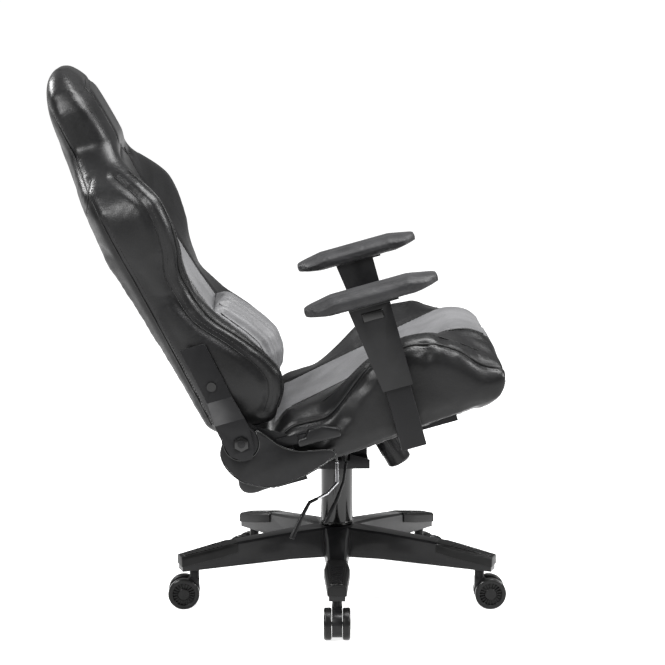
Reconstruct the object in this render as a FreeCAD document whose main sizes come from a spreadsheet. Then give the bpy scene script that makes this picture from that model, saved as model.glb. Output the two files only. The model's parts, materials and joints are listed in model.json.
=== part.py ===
import FreeCAD, Part
import math
import os
import re

import Sketcher

# Gaming chair, millimetres. X points where the sitter looks, Y to the sitter's left, Z up.
# The origin is the point of the floor under the swivel axis. Everything above the mechanism is
# drawn upright and then leaned back by rest_tilt about the tilt pin, which is the rest pose.

os.makedirs("parts", exist_ok=True)
doc = FreeCAD.newDocument("gaming_chair")
sheet = doc.addObject("Spreadsheet::Sheet", "sizes")

SIZES = {
    # casters
    "caster_circle": 300, "caster_trail": 21, "wheel_radius": 31, "wheel_width": 15,
    "wheel_hub": 12, "wheel_web": 6, "rim_depth": 9, "wheel_gap": 0.6, "fork_width": 20,
    "fork_radius": 26, "neck_radius": 9.5, "neck_top": 75, "stem_radius": 5.5, "stem_top": 96,
    "stem_foot": 46, "axle_radius": 4, "running_fit": 0.05,
    # star base
    "hub_radius": 37, "hub_foot": 85, "hub_top": 148, "leg_beyond": 30, "leg_wall": 4.5,
    "leg_chamfer": 4, "leg_width_hub": 52, "leg_width_mid": 42, "leg_width_cap": 36,
    "leg_width_tip": 31, "tip_back": 2,
    "leg_top_hub": 147, "leg_top_mid": 141, "leg_top_cap": 124, "leg_top_tip": 102,
    "leg_foot_hub": 86, "leg_foot_cap": 82, "leg_foot_tip": 77, "leg_mid": 100,
    "cap_start": 214, "cap_rise": 5, "cap_skirt": 15, "cap_clear": 0.4, "cap_width_neck": 40,
    "cap_width_belly": 50, "cap_width_tip": 37, "cap_belly": 250, "socket_radius": 12,
    # gas lift
    "tube_radius": 25, "tube_wall": 2, "tube_foot": 88, "tube_top": 262, "gland_depth": 8,
    "cylinder_radius": 14, "cylinder_bore": 10, "cylinder_foot": 112, "bore_top": 258,
    "rod_radius": 5, "rod_top": 245, "piston_radius": 9.6, "cone_top": 302, "cone_radius": 13,
    "cover_radius": 32.5, "cover_wall": 2.5, "cover_foot": 150, "mechanism_foot": 274,
    # mechanism
    "base_rear": -80, "base_front": 64, "base_half": 58, "base_wall": 4, "base_top": 310,
    "socket_wall": 8, "tilt_x": -50, "tilt_z": 300, "rest_tilt": 15.5, "pin_radius": 6,
    "plate_gap": 2, "plate_front": 130, "plate_half": 95, "plate_foot": 324,
    "plate_thick": 4, "ear_gap": 2, "ear_thick": 4, "ear_half": 26, "ear_foot": 288,
    "spring_radius": 14, "spring_bore": 9, "spring_half": 40, "knob_radius": 25,
    "knob_length": 74, "knob_x": 98, "knob_z": 300, "knob_angle": 14, "bolt_radius": 5,
    "wire_radius": 3, "grip_thick": 7, "window_foot": 291, "window_top": 306,
    # seat
    "frame_foot": 328, "frame_deep": 18, "frame_rear": -112, "frame_front": 244,
    "frame_inset": 36, "frame_tube": 22, "rail_y": 75, "crossbar_foot": 306,
    "crossbar_deep": 24, "belt_count": 5, "belt_width": 40, "belt_thick": 3,
    "seat_half": 258, "seat_panel": 135, "seat_crest": 205,
    "side_gap": 4, "side_thick": 4, "cushion_gap": 2,
    # backrest
    "hinge_x": -166, "hinge_z": 412, "lean": 11, "back_frame_x": -190, "back_frame_z": 432,
    "back_frame_inset": 53, "back_frame_tall": 470, "back_frame_thick": 28,
    "back_frame_tube": 26, "back_half": 258, "lumbar_half": 122, "lumbar_gap": 1,
    "recliner_radius": 32, "recliner_depth": 21, "hinge_pin": 13, "hinge_pin_proud": 3,
    "bracket_gap": 0.4, "bracket_thick": 6, "bolt_shank": 4.5, "bolt_head": 9,
    "head_thick": 4, "bolt_x": -192, "bolt_z": 529, "bolt_pitch": 48,
    "shield_stand": 14, "shield_thick": 6, "boss_radius": 6,
    "lever_x": -95, "lever_z": 388, "lever_pin": 5, "lever_thick": 5, "stub_long": 24.6,
    "grip_wide": 16,
    # arms
    "arm_clear": 51, "post_rear": 124, "post_wide": 48, "post_thick": 18, "post_top": 508,
    "foot_in": 120, "foot_thick": 8, "slide_gap": 0.4, "sleeve_wall": 5, "sleeve_side": 8,
    "sleeve_foot": 441, "sleeve_top": 605, "sleeve_lean": 22, "cavity_top": 575,
    "button_x": 139, "button_z": 587, "button_wide": 40, "button_tall": 17,
    "button_depth": 8, "button_proud": 3, "slider_thick": 6, "slider_half": 24,
    "slider_long": 96, "slider_x": 146, "turn_radius": 8, "turn_depth": 10,
    "pad_rear": 17, "pad_long": 258, "pad_half": 46, "pad_thick": 28, "pad_corner": 24,
    "pad_gap": 0.4,
}

# Cross-sections of the seat cushion from the rear to the front edge.
SEAT_FIELDS = ("x", "foot", "channel", "middle", "crest", "shoulder")
SEAT_SECTIONS = {
    "a": (-203, 314, 320, 336, 338, 334), "b": (-190, 299, 318, 350, 352, 348),
    "c": (-120, 303, 318, 350, 358, 352), "d": (-114, 304, 350, 385, 392, 376),
    "e": (-72, 315, 350, 418, 428, 392), "f": (0, 326, 350, 432, 430, 394),
    "g": (50, 328, 351, 441, 450, 438), "h": (104, 331, 351, 450, 484, 470),
    "i": (185, 335, 352, 468, 511, 478), "j": (240, 338, 353, 478, 504, 468),
    "k": (285, 342, 354, 487, 481, 442), "l": (315, 346, 356, 484, 450, 408),
    "m": (340, 354, 362, 470, 430, 392), "n": (358, 378, 386, 436, 414, 396),
}
# Cross-sections of the backrest cushion from its foot to the top of the head part. Those of the
# trunk give under half how much narrower than back_half they are, those of the head their own.
TRUNK = "abcdefghijkl"
BACK_FIELDS = ("z", "rear", "wing", "middle", "half", "panel")
BACK_SECTIONS = {
    "a": (420, -206, -90, -128, 20, 130), "b": (440, -222, -76, -120, 11, 135),
    "c": (480, -231, -52, -112, 3, 135), "d": (520, -241, -50, -118, 0, 135),
    "e": (560, -251, -73, -132, 2, 135), "f": (600, -262, -105, -148, 5, 135),
    "g": (650, -276, -150, -165, 9, 130), "h": (700, -289, -181, -183, 12, 128),
    "i": (750, -302, -184, -197, 8, 130), "j": (800, -315, -177, -212, -4, 132),
    "k": (850, -323, -177, -226, -11, 130), "l": (900, -331, -187, -238, -6, 125),
    "m": (940, -337, -214, -247, 240, 115), "n": (985, -343, -250, -254, 182, 95),
    "o": (1020, -348, -258, -247, 150, 90), "p": (1060, -351, -266, -256, 149, 90),
    "q": (1100, -354, -278, -266, 145, 88), "r": (1140, -353, -290, -276, 128, 75),
    "s": (1166, -346, -300, -287, 100, 55), "t": (1184, -328, -310, -303, 60, 30),
}
# Thickness of the lumbar cushion in front of the backrest sections of the same letter.
LUMBAR_THICK = {"c": 46, "d": 68, "e": 78, "f": 66, "g": 38}
# Flat bar of a back bracket: height, rear and front edge, 1 where it runs outboard.
BRACKET_FIELDS = ("z", "rear", "front", "out")
BRACKET_SECTIONS = {
    "a": (378, -172, -154, 1), "b": (394, -193, -145, 1), "c": (440, -203, -143, 1),
    "d": (458, -205, -147, 1), "e": (500, -209, -160, 0), "f": (545, -217, -168, 0),
    "g": (612, -231, -182, 0),
}
for part_name, fields, sections in (("seat", SEAT_FIELDS, SEAT_SECTIONS),
                                    ("back", BACK_FIELDS, BACK_SECTIONS),
                                    ("bracket", BRACKET_FIELDS, BRACKET_SECTIONS),
                                    ("lumbar", ("thick",),
                                     {key: (value,) for key, value in LUMBAR_THICK.items()})):
    for key, values in sections.items():
        for field, value in zip(fields, values):
            SIZES[f"{part_name}_{key}_{field}"] = value
for row, (alias, value) in enumerate(SIZES.items(), start=1):
    sheet.set(f"A{row}", alias)
    sheet.set(f"B{row}", str(value))
    sheet.setAlias(f"B{row}", alias)
doc.recompute()

X_UP, Y_UP, Z_UP = FreeCAD.Vector(1, 0, 0), FreeCAD.Vector(0, 1, 0), FreeCAD.Vector(0, 0, 1)


def size(name):
    """Value of one cell of the sheet."""
    return float(sheet.get(name))


def bound(text):
    """Expression text with every size name pointed at its cell."""
    return re.sub(r"[a-z]+(_[a-z]+)+|lean", lambda word: "sizes." + word.group(0), str(text))


def bind(target, prop, text):
    target.setExpression(prop, bound(text))


def plane(body, role):
    return next(item for item in body.Origin.OriginFeatures if item.Role == role)


def outline(body, name, role, points, offset="0", lean=None):
    """Closed sketch of straight edges, each corner held by two expressions."""
    sketch = body.newObject("Sketcher::SketchObject", name)
    sketch.AttachmentSupport = (plane(body, role), [""])
    sketch.MapMode = "FlatFace"
    bind(sketch, "AttachmentOffset.Base.z", offset)
    if lean:
        shift_y, angle = lean
        sketch.AttachmentOffset = FreeCAD.Placement(FreeCAD.Vector(0, 0, 0), FreeCAD.Rotation(X_UP, 1))
        bind(sketch, "AttachmentOffset.Base.y", shift_y)
        bind(sketch, "AttachmentOffset.Rotation.Angle", angle)
    corners = [tuple(float(sketch.evalExpression(bound(part))) for part in point) for point in points]
    for index, corner in enumerate(corners):
        after = corners[(index + 1) % len(corners)]
        sketch.addGeometry(Part.LineSegment(FreeCAD.Vector(*corner, 0), FreeCAD.Vector(*after, 0)))
    for index in range(len(corners)):
        sketch.addConstraint(Sketcher.Constraint("Coincident", index, 2, (index + 1) % len(corners), 1))
    for index, (corner, point) in enumerate(zip(corners, points)):
        for kind, axis, value, text in (("DistanceX", -2, corner[0], point[0]),
                                        ("DistanceY", -1, corner[1], point[1])):
            if abs(value) < 1e-9:
                sketch.addConstraint(Sketcher.Constraint("PointOnObject", index, 1, axis))
                continue
            held = sketch.addConstraint(Sketcher.Constraint(kind, -1, 1, index, 1, value))
            bind(sketch, f"Constraints[{held}]", text)
    return sketch


def circle(body, name, role, centre, radius, offset="0"):
    """Sketch of one circle with its centre and radius bound."""
    sketch = body.newObject("Sketcher::SketchObject", name)
    sketch.AttachmentSupport = (plane(body, role), [""])
    sketch.MapMode = "FlatFace"
    bind(sketch, "AttachmentOffset.Base.z", offset)
    x, y, r = (float(sketch.evalExpression(bound(part))) for part in (*centre, radius))
    sketch.addGeometry(Part.Circle(FreeCAD.Vector(x, y, 0), Z_UP, r))
    bind(sketch, f"Constraints[{sketch.addConstraint(Sketcher.Constraint('Radius', 0, r))}]", radius)
    for kind, axis, value, text in (("DistanceX", -2, x, centre[0]), ("DistanceY", -1, y, centre[1])):
        if abs(value) < 1e-9:
            sketch.addConstraint(Sketcher.Constraint("PointOnObject", 0, 3, axis))
        else:
            held = sketch.addConstraint(Sketcher.Constraint(kind, -1, 1, 0, 3, value))
            bind(sketch, f"Constraints[{held}]", text)
    return sketch


def new_body(name):
    body = doc.addObject("PartDesign::Body", name)
    body.Label = name
    return body


def pad(body, sketch, length, symmetric=False, backward=False):
    feature = body.newObject("PartDesign::Pad", sketch.Name + "_pad")
    feature.Profile = sketch
    feature.SideType = "Symmetric" if symmetric else "One side"
    feature.Reversed = backward
    bind(feature, "Length", length)
    doc.recompute()
    return feature


def pocket(body, sketch, length, symmetric=True, backward=False):
    """Cut that must take material away; a cut that takes none is an error."""
    before = body.Shape.Volume
    feature = body.newObject("PartDesign::Pocket", sketch.Name + "_pocket")
    feature.Profile = sketch
    feature.SideType = "Symmetric" if symmetric else "One side"
    feature.Reversed = backward
    bind(feature, "Length", length)
    doc.recompute()
    if body.Shape.Volume > before - 1:
        raise RuntimeError(f"{sketch.Name} cuts nothing")
    return feature


def revolved(name, points):
    """Body turned about Z from corners given as radius and height."""
    body = new_body(name)
    feature = body.newObject("PartDesign::Revolution", name + "_turn")
    feature.Profile = outline(body, name + "_profile", "XZ_Plane", points)
    feature.ReferenceAxis = (plane(body, "Z_Axis"), [""])
    feature.Angle = 360
    doc.recompute()
    return body


def lofted(body, name, role, sections):
    """Straight-sided loft through sections given as offset and corners."""
    sketches = [outline(body, f"{name}_{step}", role, points, offset)
                for step, (offset, points) in enumerate(sections)]
    feature = body.newObject("PartDesign::AdditiveLoft", name)
    feature.Profile = sketches[0]
    feature.Sections = sketches[1:]
    feature.Ruled = True
    doc.recompute()
    return feature


def mirrored(points, mirror_first=True):
    """Corners of one half, given from the middle out and round, and their mirror images."""
    sign = (lambda point: (f"-({point[0]})", point[1])) if mirror_first else (
        lambda point: (point[0], f"-({point[1]})"))
    return points + [sign(point) for point in reversed(points)]


def leaned_back(piece):
    """Bind the rest pose of a piece that is drawn upright."""
    piece.Placement = FreeCAD.Placement(FreeCAD.Vector(1, 0, 1), FreeCAD.Rotation(-Y_UP, 1))
    bind(piece, "Placement.Rotation.Angle", "rest_tilt")
    bind(piece, "Placement.Base.x",
         "tilt_x - tilt_x * cos(rest_tilt * 1deg) + tilt_z * sin(rest_tilt * 1deg)")
    bind(piece, "Placement.Base.z",
         "tilt_z - tilt_z * cos(rest_tilt * 1deg) - tilt_x * sin(rest_tilt * 1deg)")


BEND_SWELL = 1.06


def wire_shape(points, radius):
    """Bent round wire: straight runs with a ball in each bend, a little thicker than the wire."""
    vectors = [FreeCAD.Vector(*point) for point in points]
    runs = [Part.makeCylinder(radius, (after - before).Length, before, after - before)
            for before, after in zip(vectors, vectors[1:])]
    balls = [Part.makeSphere(radius * BEND_SWELL, bend) for bend in vectors[1:-1]]
    return runs[0].multiFuse(runs[1:] + balls)


def span(side, inner, outer):
    """Low and high Y of a piece between two distances from the middle; side is -1 or 1."""
    return (f"-({outer})", f"-({inner})") if side < 0 else (inner, outer)


def plate(body, name, points, low, high):
    """Pad of an XZ outline between two Y values."""
    return pad(body, outline(body, name, "XZ_Plane", points, f"-({high})"), f"({high}) - ({low})")


def disc(body, name, centre, radius, low, high):
    """Round pad along Y between two Y values."""
    return pad(body, circle(body, name, "XZ_Plane", centre, radius, f"-({high})"),
               f"({high}) - ({low})")


def hole(body, name, centre, radius, low, high):
    """Round cut along Y between two Y values."""
    return pocket(body, circle(body, name, "XZ_Plane", centre, radius, f"-({low})"),
                  f"({high}) - ({low})", symmetric=False)


def slab(body, name, points, low, high):
    """Pad of an XY outline between two heights."""
    return pad(body, outline(body, name, "XY_Plane", points, low), f"({high}) - ({low})")


def box(x_low, x_high, y_low, y_high):
    return [(x_low, y_low), (x_high, y_low), (x_high, y_high), (x_low, y_high)]


def turned(body, names):
    """Repeat features of one leg round the column."""
    pattern = body.newObject("PartDesign::PolarPattern", body.Name + "_legs")
    pattern.Originals = names
    pattern.Axis = (plane(body, "Z_Axis"), [""])
    pattern.Angle = 360
    pattern.Occurrences = LEG_COUNT
    body.Tip = pattern
    body.Placement = FreeCAD.Placement(FreeCAD.Vector(0, 0, 0), FreeCAD.Rotation(Z_UP, FIRST_LEG))
    doc.recompute()


def along_leg(start, end, place):
    """Value between two named sizes of a leg section at a distance from the column."""
    return (f"{start} + ({end} - {start}) * ({place} - cap_start)"
            " / (caster_circle + leg_beyond - tip_back - cap_start)")


LEG_COUNT = 5
LEG_STEP = 360 / LEG_COUNT
FIRST_LEG = -92
# Direction in which each caster trails, in degrees.
CASTER_HEADINGS = (-92, 0, 30, 150, 180)


# ---- casters -------------------------------------------------------------------------------

def caster_place(piece, number, beside="0", turn=None):
    """Stand a piece that is drawn at the caster's pivot under its leg."""
    leg_angle = FIRST_LEG + LEG_STEP * number
    heading = FreeCAD.Rotation(Z_UP, CASTER_HEADINGS[number])
    piece.Placement = FreeCAD.Placement(FreeCAD.Vector(0, 0, 0), heading * (turn or FreeCAD.Rotation()))
    bind(piece, "Placement.Base.x", f"caster_circle * cos({leg_angle} * 1deg)"
         f" + caster_trail * cos({CASTER_HEADINGS[number]} * 1deg) * ({beside})")
    bind(piece, "Placement.Base.y", f"caster_circle * sin({leg_angle} * 1deg)"
         f" + caster_trail * sin({CASTER_HEADINGS[number]} * 1deg) * ({beside})")


def caster_fork(number):
    body = new_body(f"caster_{number + 1}_fork")
    label = f"fork{number}"
    half = "fork_width / 2"
    pad(body, circle(body, label + "_neck", "XY_Plane", ("0", "0"), "neck_radius", "stem_foot - 6"),
        "neck_top - stem_foot + 6")
    disc(body, label + "_disc", ("caster_trail", "wheel_radius"), "fork_radius", f"-{half}", half)
    plate(body, label + "_web", [("-neck_radius", "stem_foot - 6"), ("caster_trail", "wheel_radius - 8"),
                                 ("caster_trail + 8", "wheel_radius + 12"), ("neck_radius", "neck_top - 14"),
                                 ("-neck_radius", "neck_top - 14")], f"-{half}", half)
    hole(body, label + "_axle", ("caster_trail", "wheel_radius"), "axle_radius", f"-{half}", half)
    pocket(body, circle(body, label + "_stem", "XY_Plane", ("0", "0"), "stem_radius", "neck_top"),
           "neck_top - stem_foot", symmetric=False)
    caster_place(body, number)


def caster_pins(number):
    body = new_body(f"caster_{number + 1}_pins")
    label = f"pins{number}"
    reach = "fork_width / 2 + wheel_gap + wheel_width - 2"
    pad(body, circle(body, label + "_stem", "XY_Plane", ("0", "0"), "stem_radius", "stem_foot"),
        "stem_top - stem_foot")
    disc(body, label + "_axle", ("caster_trail", "wheel_radius"), "axle_radius", f"-({reach})", reach)
    caster_place(body, number)


def caster_wheel(number, letter, side):
    """Wheel turned about its own axis with its outer face at the top, then laid on its side."""
    inner, outer = "fork_width / 2 + wheel_gap", "fork_width / 2 + wheel_gap + wheel_width"
    bore = "axle_radius + running_fit"
    body = revolved(f"caster_{number + 1}_wheel_{letter}", [
        (bore, inner), ("wheel_radius - 2", inner), ("wheel_radius", f"{inner} + 2"),
        ("wheel_radius", f"{outer} - 3"), ("wheel_radius - 2", outer),
        ("wheel_radius - rim_depth", outer), ("wheel_radius - rim_depth", f"{outer} - wheel_web"),
        ("wheel_hub", f"{outer} - wheel_web"), ("wheel_hub", f"{outer} - 1"), (bore, f"{outer} - 1")])
    caster_place(body, number, "1", FreeCAD.Rotation(X_UP, 90 * side))
    bind(body, "Placement.Base.z", "wheel_radius")


for caster in range(LEG_COUNT):
    caster_fork(caster)
    caster_pins(caster)
    caster_wheel(caster, "a", 1)
    caster_wheel(caster, "b", -1)


# ---- star base and gas lift ------------------------------------------------------------------

LEG_TIP = "caster_circle + leg_beyond - tip_back"

def leg_section(width, foot, top):
    half = f"{width} / 2"
    return mirrored([(f"{half} - leg_chamfer", top), (half, f"{top} - leg_chamfer"), (half, foot),
                     (f"{half} - leg_wall", foot), (f"{half} - leg_wall", f"{top} - leg_wall")])


def cap_section(width, leg_width, leg_top):
    half = f"{width} / 2"
    inner = f"({leg_width}) / 2 + cap_clear"
    return mirrored([(f"{half} - leg_chamfer", f"{leg_top} + cap_rise"),
                     (half, f"{leg_top} + cap_rise - leg_chamfer"), (half, f"{leg_top} - cap_skirt"),
                     (inner, f"{leg_top} - cap_skirt"), (inner, f"{leg_top}")])


def star_base():
    body = new_body("star_base")
    hub = body.newObject("PartDesign::Revolution", "hub")
    hub.Profile = outline(body, "hub_profile", "XZ_Plane", [
        ("tube_radius", "hub_foot"), ("hub_radius", "hub_foot"), ("hub_radius", "hub_top - 3"),
        ("hub_radius - 3", "hub_top"), ("tube_radius", "hub_top")])
    hub.ReferenceAxis = (plane(body, "Z_Axis"), [""])
    doc.recompute()
    leg = lofted(body, "leg", "YZ_Plane", [
        ("tube_radius + 3", leg_section("leg_width_hub", "leg_foot_hub", "leg_top_hub")),
        ("leg_mid", leg_section("leg_width_mid", "leg_foot_hub", "leg_top_mid")),
        ("cap_start", leg_section("leg_width_cap", "leg_foot_cap", "leg_top_cap + cap_rise"))])
    tip = lofted(body, "leg_tip", "YZ_Plane", [
        ("cap_start", leg_section("leg_width_cap", "leg_foot_cap", "leg_top_cap")),
        (LEG_TIP, leg_section("leg_width_tip", "leg_foot_tip", "leg_top_tip"))])
    end = pad(body, outline(body, "leg_end", "YZ_Plane",
                            box("-leg_width_tip / 2 + 1", "leg_width_tip / 2 - 1", "leg_foot_tip",
                                "leg_top_tip - leg_chamfer"),
                            f"{LEG_TIP} - leg_wall"), "leg_wall")
    socket = pad(body, circle(body, "caster_socket", "XY_Plane", ("caster_circle", "0"),
                              "socket_radius", "neck_top + 1"), "stem_top + 5 - neck_top")
    bore = pocket(body, circle(body, "caster_bore", "XY_Plane", ("caster_circle", "0"),
                               "stem_radius + running_fit", "neck_top + 1"),
                  "stem_top - neck_top", symmetric=False, backward=True)
    turned(body, [leg, tip, end, socket, bore])


def leg_caps():
    body = new_body("leg_caps")
    belly_width = along_leg("leg_width_cap", "leg_width_tip", "cap_belly")
    belly_top = along_leg("leg_top_cap", "leg_top_tip", "cap_belly")
    cap = lofted(body, "cap", "YZ_Plane", [
        ("cap_start", cap_section("cap_width_neck", "leg_width_cap", "leg_top_cap")),
        ("cap_belly", cap_section("cap_width_belly", belly_width, f"({belly_top})")),
        (LEG_TIP, cap_section("cap_width_tip", "leg_width_tip", "leg_top_tip"))])
    nose = pad(body, outline(body, "cap_nose", "YZ_Plane", mirrored([
        ("cap_width_tip / 2 - leg_chamfer", "leg_top_tip + cap_rise"),
        ("cap_width_tip / 2", "leg_top_tip + cap_rise - leg_chamfer"),
        ("cap_width_tip / 2", "leg_top_tip - cap_skirt")]), LEG_TIP), "tip_back")
    turned(body, [cap, nose])


star_base()
leg_caps()
revolved("stand_tube", [
    ("0", "tube_foot"), ("tube_radius", "tube_foot"), ("tube_radius", "tube_top"),
    ("cylinder_radius + running_fit", "tube_top"), ("cylinder_radius + running_fit", "tube_top - 60"),
    ("tube_radius - tube_wall", "tube_top - 60"), ("tube_radius - tube_wall", "tube_foot + 4"),
    ("0", "tube_foot + 4")])
revolved("gas_rod", [
    ("0", "tube_foot + 4"), ("rod_radius", "tube_foot + 4"), ("rod_radius", "rod_top - 10"),
    ("piston_radius", "rod_top - 10"), ("piston_radius", "rod_top"), ("0", "rod_top")])
revolved("gas_cylinder", [
    ("0", "bore_top"), ("cylinder_bore", "bore_top"), ("cylinder_bore", "cylinder_foot + gland_depth"),
    ("rod_radius + running_fit", "cylinder_foot + gland_depth"),
    ("rod_radius + running_fit", "cylinder_foot"), ("cylinder_radius", "cylinder_foot"),
    ("cylinder_radius", "mechanism_foot"), ("cone_radius", "cone_top"), ("0", "cone_top")])
COVER_TOP = "mechanism_foot - slide_gap"
revolved("column_cover", [
    ("cylinder_radius + slide_gap", COVER_TOP), ("cover_radius - 3", COVER_TOP),
    ("cover_radius", f"{COVER_TOP} - 3"), ("cover_radius", "cover_foot"),
    ("cover_radius - cover_wall", "cover_foot"),
    ("cover_radius - cover_wall", f"{COVER_TOP} - cover_wall - 1"),
    ("cylinder_radius + slide_gap", f"{COVER_TOP} - cover_wall - 1")])


# ---- mechanism -------------------------------------------------------------------------------

def mechanism_base():
    body = new_body("mechanism_base")
    floor_top = "mechanism_foot + base_wall + 2"
    slab(body, "base_floor", box("base_rear", "base_front", "-base_half", "base_half"),
         "mechanism_foot", floor_top)
    wall = [("base_rear", "mechanism_foot"), ("base_front", "mechanism_foot"),
            ("base_front", "mechanism_foot + 18"), ("0", "base_top"), ("base_rear", "base_top")]
    for side in (-1, 1):
        plate(body, f"base_wall_{side + 2}", wall, *span(side, "base_half - base_wall", "base_half"))
    pad(body, circle(body, "cone_socket", "XY_Plane", ("0", "0"), "cylinder_radius + socket_wall",
                     floor_top), f"cone_top - 2 - ({floor_top})")
    cone = body.newObject("PartDesign::Groove", "cone_bore")
    cone.Profile = outline(body, "cone_profile", "XZ_Plane", [
        ("0", "mechanism_foot"), ("cylinder_radius + running_fit", "mechanism_foot"),
        ("cone_radius + running_fit", "cone_top"), ("0", "cone_top")])
    cone.ReferenceAxis = (plane(body, "Z_Axis"), [""])
    cone.Angle = 360
    doc.recompute()
    hole(body, "pin_bore", ("tilt_x", "tilt_z"), "pin_radius", "-base_half", "base_half")
    for side, name in ((-1, "right"), (1, "left")):
        low, high = span(side, "base_half - base_wall - 1", "base_half + 1")
        pocket(body, outline(body, f"lever_window_{name}", "XZ_Plane",
                             box("-12", "24", "window_foot", "window_top"), f"-({low})"),
               f"({high}) - ({low})", symmetric=False)


def mechanism_plate():
    body = new_body("mechanism_plate")
    rear = "frame_rear + crossbar_deep + plate_gap"
    slab(body, "top_plate", box(rear, "plate_front", "-plate_half", "plate_half"),
         "plate_foot", "plate_foot + plate_thick")
    ear = [("tilt_x - ear_half", "plate_foot"), ("tilt_x - ear_half / 2", "ear_foot"),
           ("tilt_x + ear_half / 2", "ear_foot"), ("tilt_x + ear_half", "plate_foot")]
    for side in (-1, 1):
        low, high = span(side, "base_half + ear_gap", "base_half + ear_gap + ear_thick")
        plate(body, f"ear_{side + 2}", ear, low, high)
        hole(body, f"ear_bore_{side + 2}", ("tilt_x", "tilt_z"), "pin_radius + running_fit", low, high)
    bolt_x = "knob_x - (plate_foot + plate_thick / 2 - knob_z) * tan(knob_angle * 1deg)"
    pocket(body, circle(body, "tension_bore", "XY_Plane", (bolt_x, "0"), "bolt_radius + 3",
                        "plate_foot + plate_thick"), "plate_thick", symmetric=False)
    leaned_back(body)


def tension_knob():
    """Knob with its bolt, drawn with the top of the knob at the origin and leaned twice."""
    body = revolved("tension_knob", [
        ("0", "-knob_length"), ("knob_radius - 4", "-knob_length"),
        ("knob_radius", "-knob_length + 4"), ("knob_radius", "-4"), ("knob_radius - 4", "0"),
        ("bolt_radius", "0"), ("bolt_radius", "plate_foot + plate_thick - knob_z - 1"),
        ("0", "plate_foot + plate_thick - knob_z - 1")])
    body.Placement = FreeCAD.Placement(FreeCAD.Vector(0, 0, 0), FreeCAD.Rotation(-Y_UP, 1))
    bind(body, "Placement.Rotation.Angle", "rest_tilt + knob_angle")
    bind(body, "Placement.Base.x", "tilt_x + (knob_x - tilt_x) * cos(rest_tilt * 1deg)"
         " - (knob_z - tilt_z) * sin(rest_tilt * 1deg)")
    bind(body, "Placement.Base.z", "tilt_z + (knob_x - tilt_x) * sin(rest_tilt * 1deg)"
         " + (knob_z - tilt_z) * cos(rest_tilt * 1deg)")


# Route of each lever from the housing out to its grip, and of the grip itself.
LIFT_ROUTE = [(-4, -50, 299), (-4, -122, 301), (-4, -134, 264), (-24, -150, 246), (-44, -160, 238)]
LIFT_BLADE = [(-44, -160, 238), (-59, -167.5, 232), (-96, -182, 163)]
LOCK_ROUTE = [(14, -50, 297), (14, -112, 298), (8, -124, 262), (0, -136, 244)]
LOCK_BLADE = [(0, -136, 244), (-6, -145, 230.5), (-30, -156, 186)]


def lever(name, route, blade):
    """Wire lever, and a node of its own for the grip that goes on from its end."""
    wire = doc.addObject("Part::Feature", name)
    wire.Label = name
    wire.Shape = wire_shape(route, size("wire_radius"))
    grip = doc.addObject("Part::Feature", name + "_grip")
    grip.Label = name + "_grip"
    grip.Shape = wire_shape(blade, size("grip_thick") / 2)


mechanism_base()
mechanism_plate()
disc(new_body("tilt_pin"), "tilt_pin_round", ("tilt_x", "tilt_z"), "pin_radius",
     "-(base_half + ear_gap + ear_thick + 4)", "base_half + ear_gap + ear_thick + 4")
spring = new_body("tension_spring")
disc(spring, "spring_outside", ("tilt_x", "tilt_z"), "spring_radius", "-spring_half", "spring_half")
hole(spring, "spring_inside", ("tilt_x", "tilt_z"), "spring_bore", "-spring_half", "spring_half")
tension_knob()
lever("lift_lever", LIFT_ROUTE, LIFT_BLADE)
lever("lock_lever", LOCK_ROUTE, LOCK_BLADE)


# ---- seat ------------------------------------------------------------------------------------

FRAME_TOP = "frame_foot + frame_deep"
FRAME_HALF = "(seat_half - frame_inset)"
PLATE_IN = "seat_half + side_gap"
PLATE_OUT = f"{PLATE_IN} + side_thick"


def seat_frame():
    body = new_body("seat_frame")
    inside = f"{FRAME_HALF} - frame_tube"
    bars = [box("frame_rear", "frame_front", f"-{FRAME_HALF}", f"-({inside})"),
            box("frame_rear", "frame_front", inside, FRAME_HALF),
            box("frame_rear", "frame_front", "-(rail_y + frame_tube / 2)", "-(rail_y - frame_tube / 2)"),
            box("frame_rear", "frame_front", "rail_y - frame_tube / 2", "rail_y + frame_tube / 2"),
            box("frame_front - frame_tube", "frame_front", f"-{FRAME_HALF}", FRAME_HALF),
            box("frame_rear", "frame_rear + frame_tube", f"-{FRAME_HALF}", FRAME_HALF)]
    for number, bar in enumerate(bars):
        slab(body, f"frame_bar_{number + 1}", bar, "frame_foot", FRAME_TOP)
    slab(body, "crossbar", box("frame_rear", "frame_rear + crossbar_deep", f"-({PLATE_OUT})", PLATE_OUT),
         "crossbar_foot", "frame_foot")
    side_outline = [("frame_rear - 12", "crossbar_foot"), ("frame_rear + 48", "crossbar_foot"),
                    ("lever_x + 22", "lever_z - 20"), ("lever_x + 14", "lever_z + 14"),
                    ("hinge_x + 28", "hinge_z + 22"), ("hinge_x - 14", "hinge_z + 26"),
                    ("hinge_x - 34", "hinge_z"), ("hinge_x - 26", "hinge_z - 36")]
    for side in (-1, 1):
        low, high = span(side, PLATE_IN, PLATE_OUT)
        plate(body, f"side_plate_{side + 2}", side_outline, low, high)
    hole(body, "lever_bore", ("lever_x", "lever_z"), "lever_pin + running_fit",
         *span(-1, PLATE_IN, PLATE_OUT))
    leaned_back(body)


def seat_belts():
    body = new_body("seat_belts")
    for number in range(BELT_COUNT):
        start = (f"frame_rear + frame_tube + (frame_front - frame_rear - 2 * frame_tube - belt_width)"
                 f" * {(number + 0.5) / BELT_COUNT}")
        slab(body, f"belt_{number + 1}", box(start, f"{start} + belt_width", f"-({FRAME_HALF} - 8)",
                                            f"{FRAME_HALF} - 8"), FRAME_TOP, f"{FRAME_TOP} + belt_thick")
    leaned_back(body)


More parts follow.
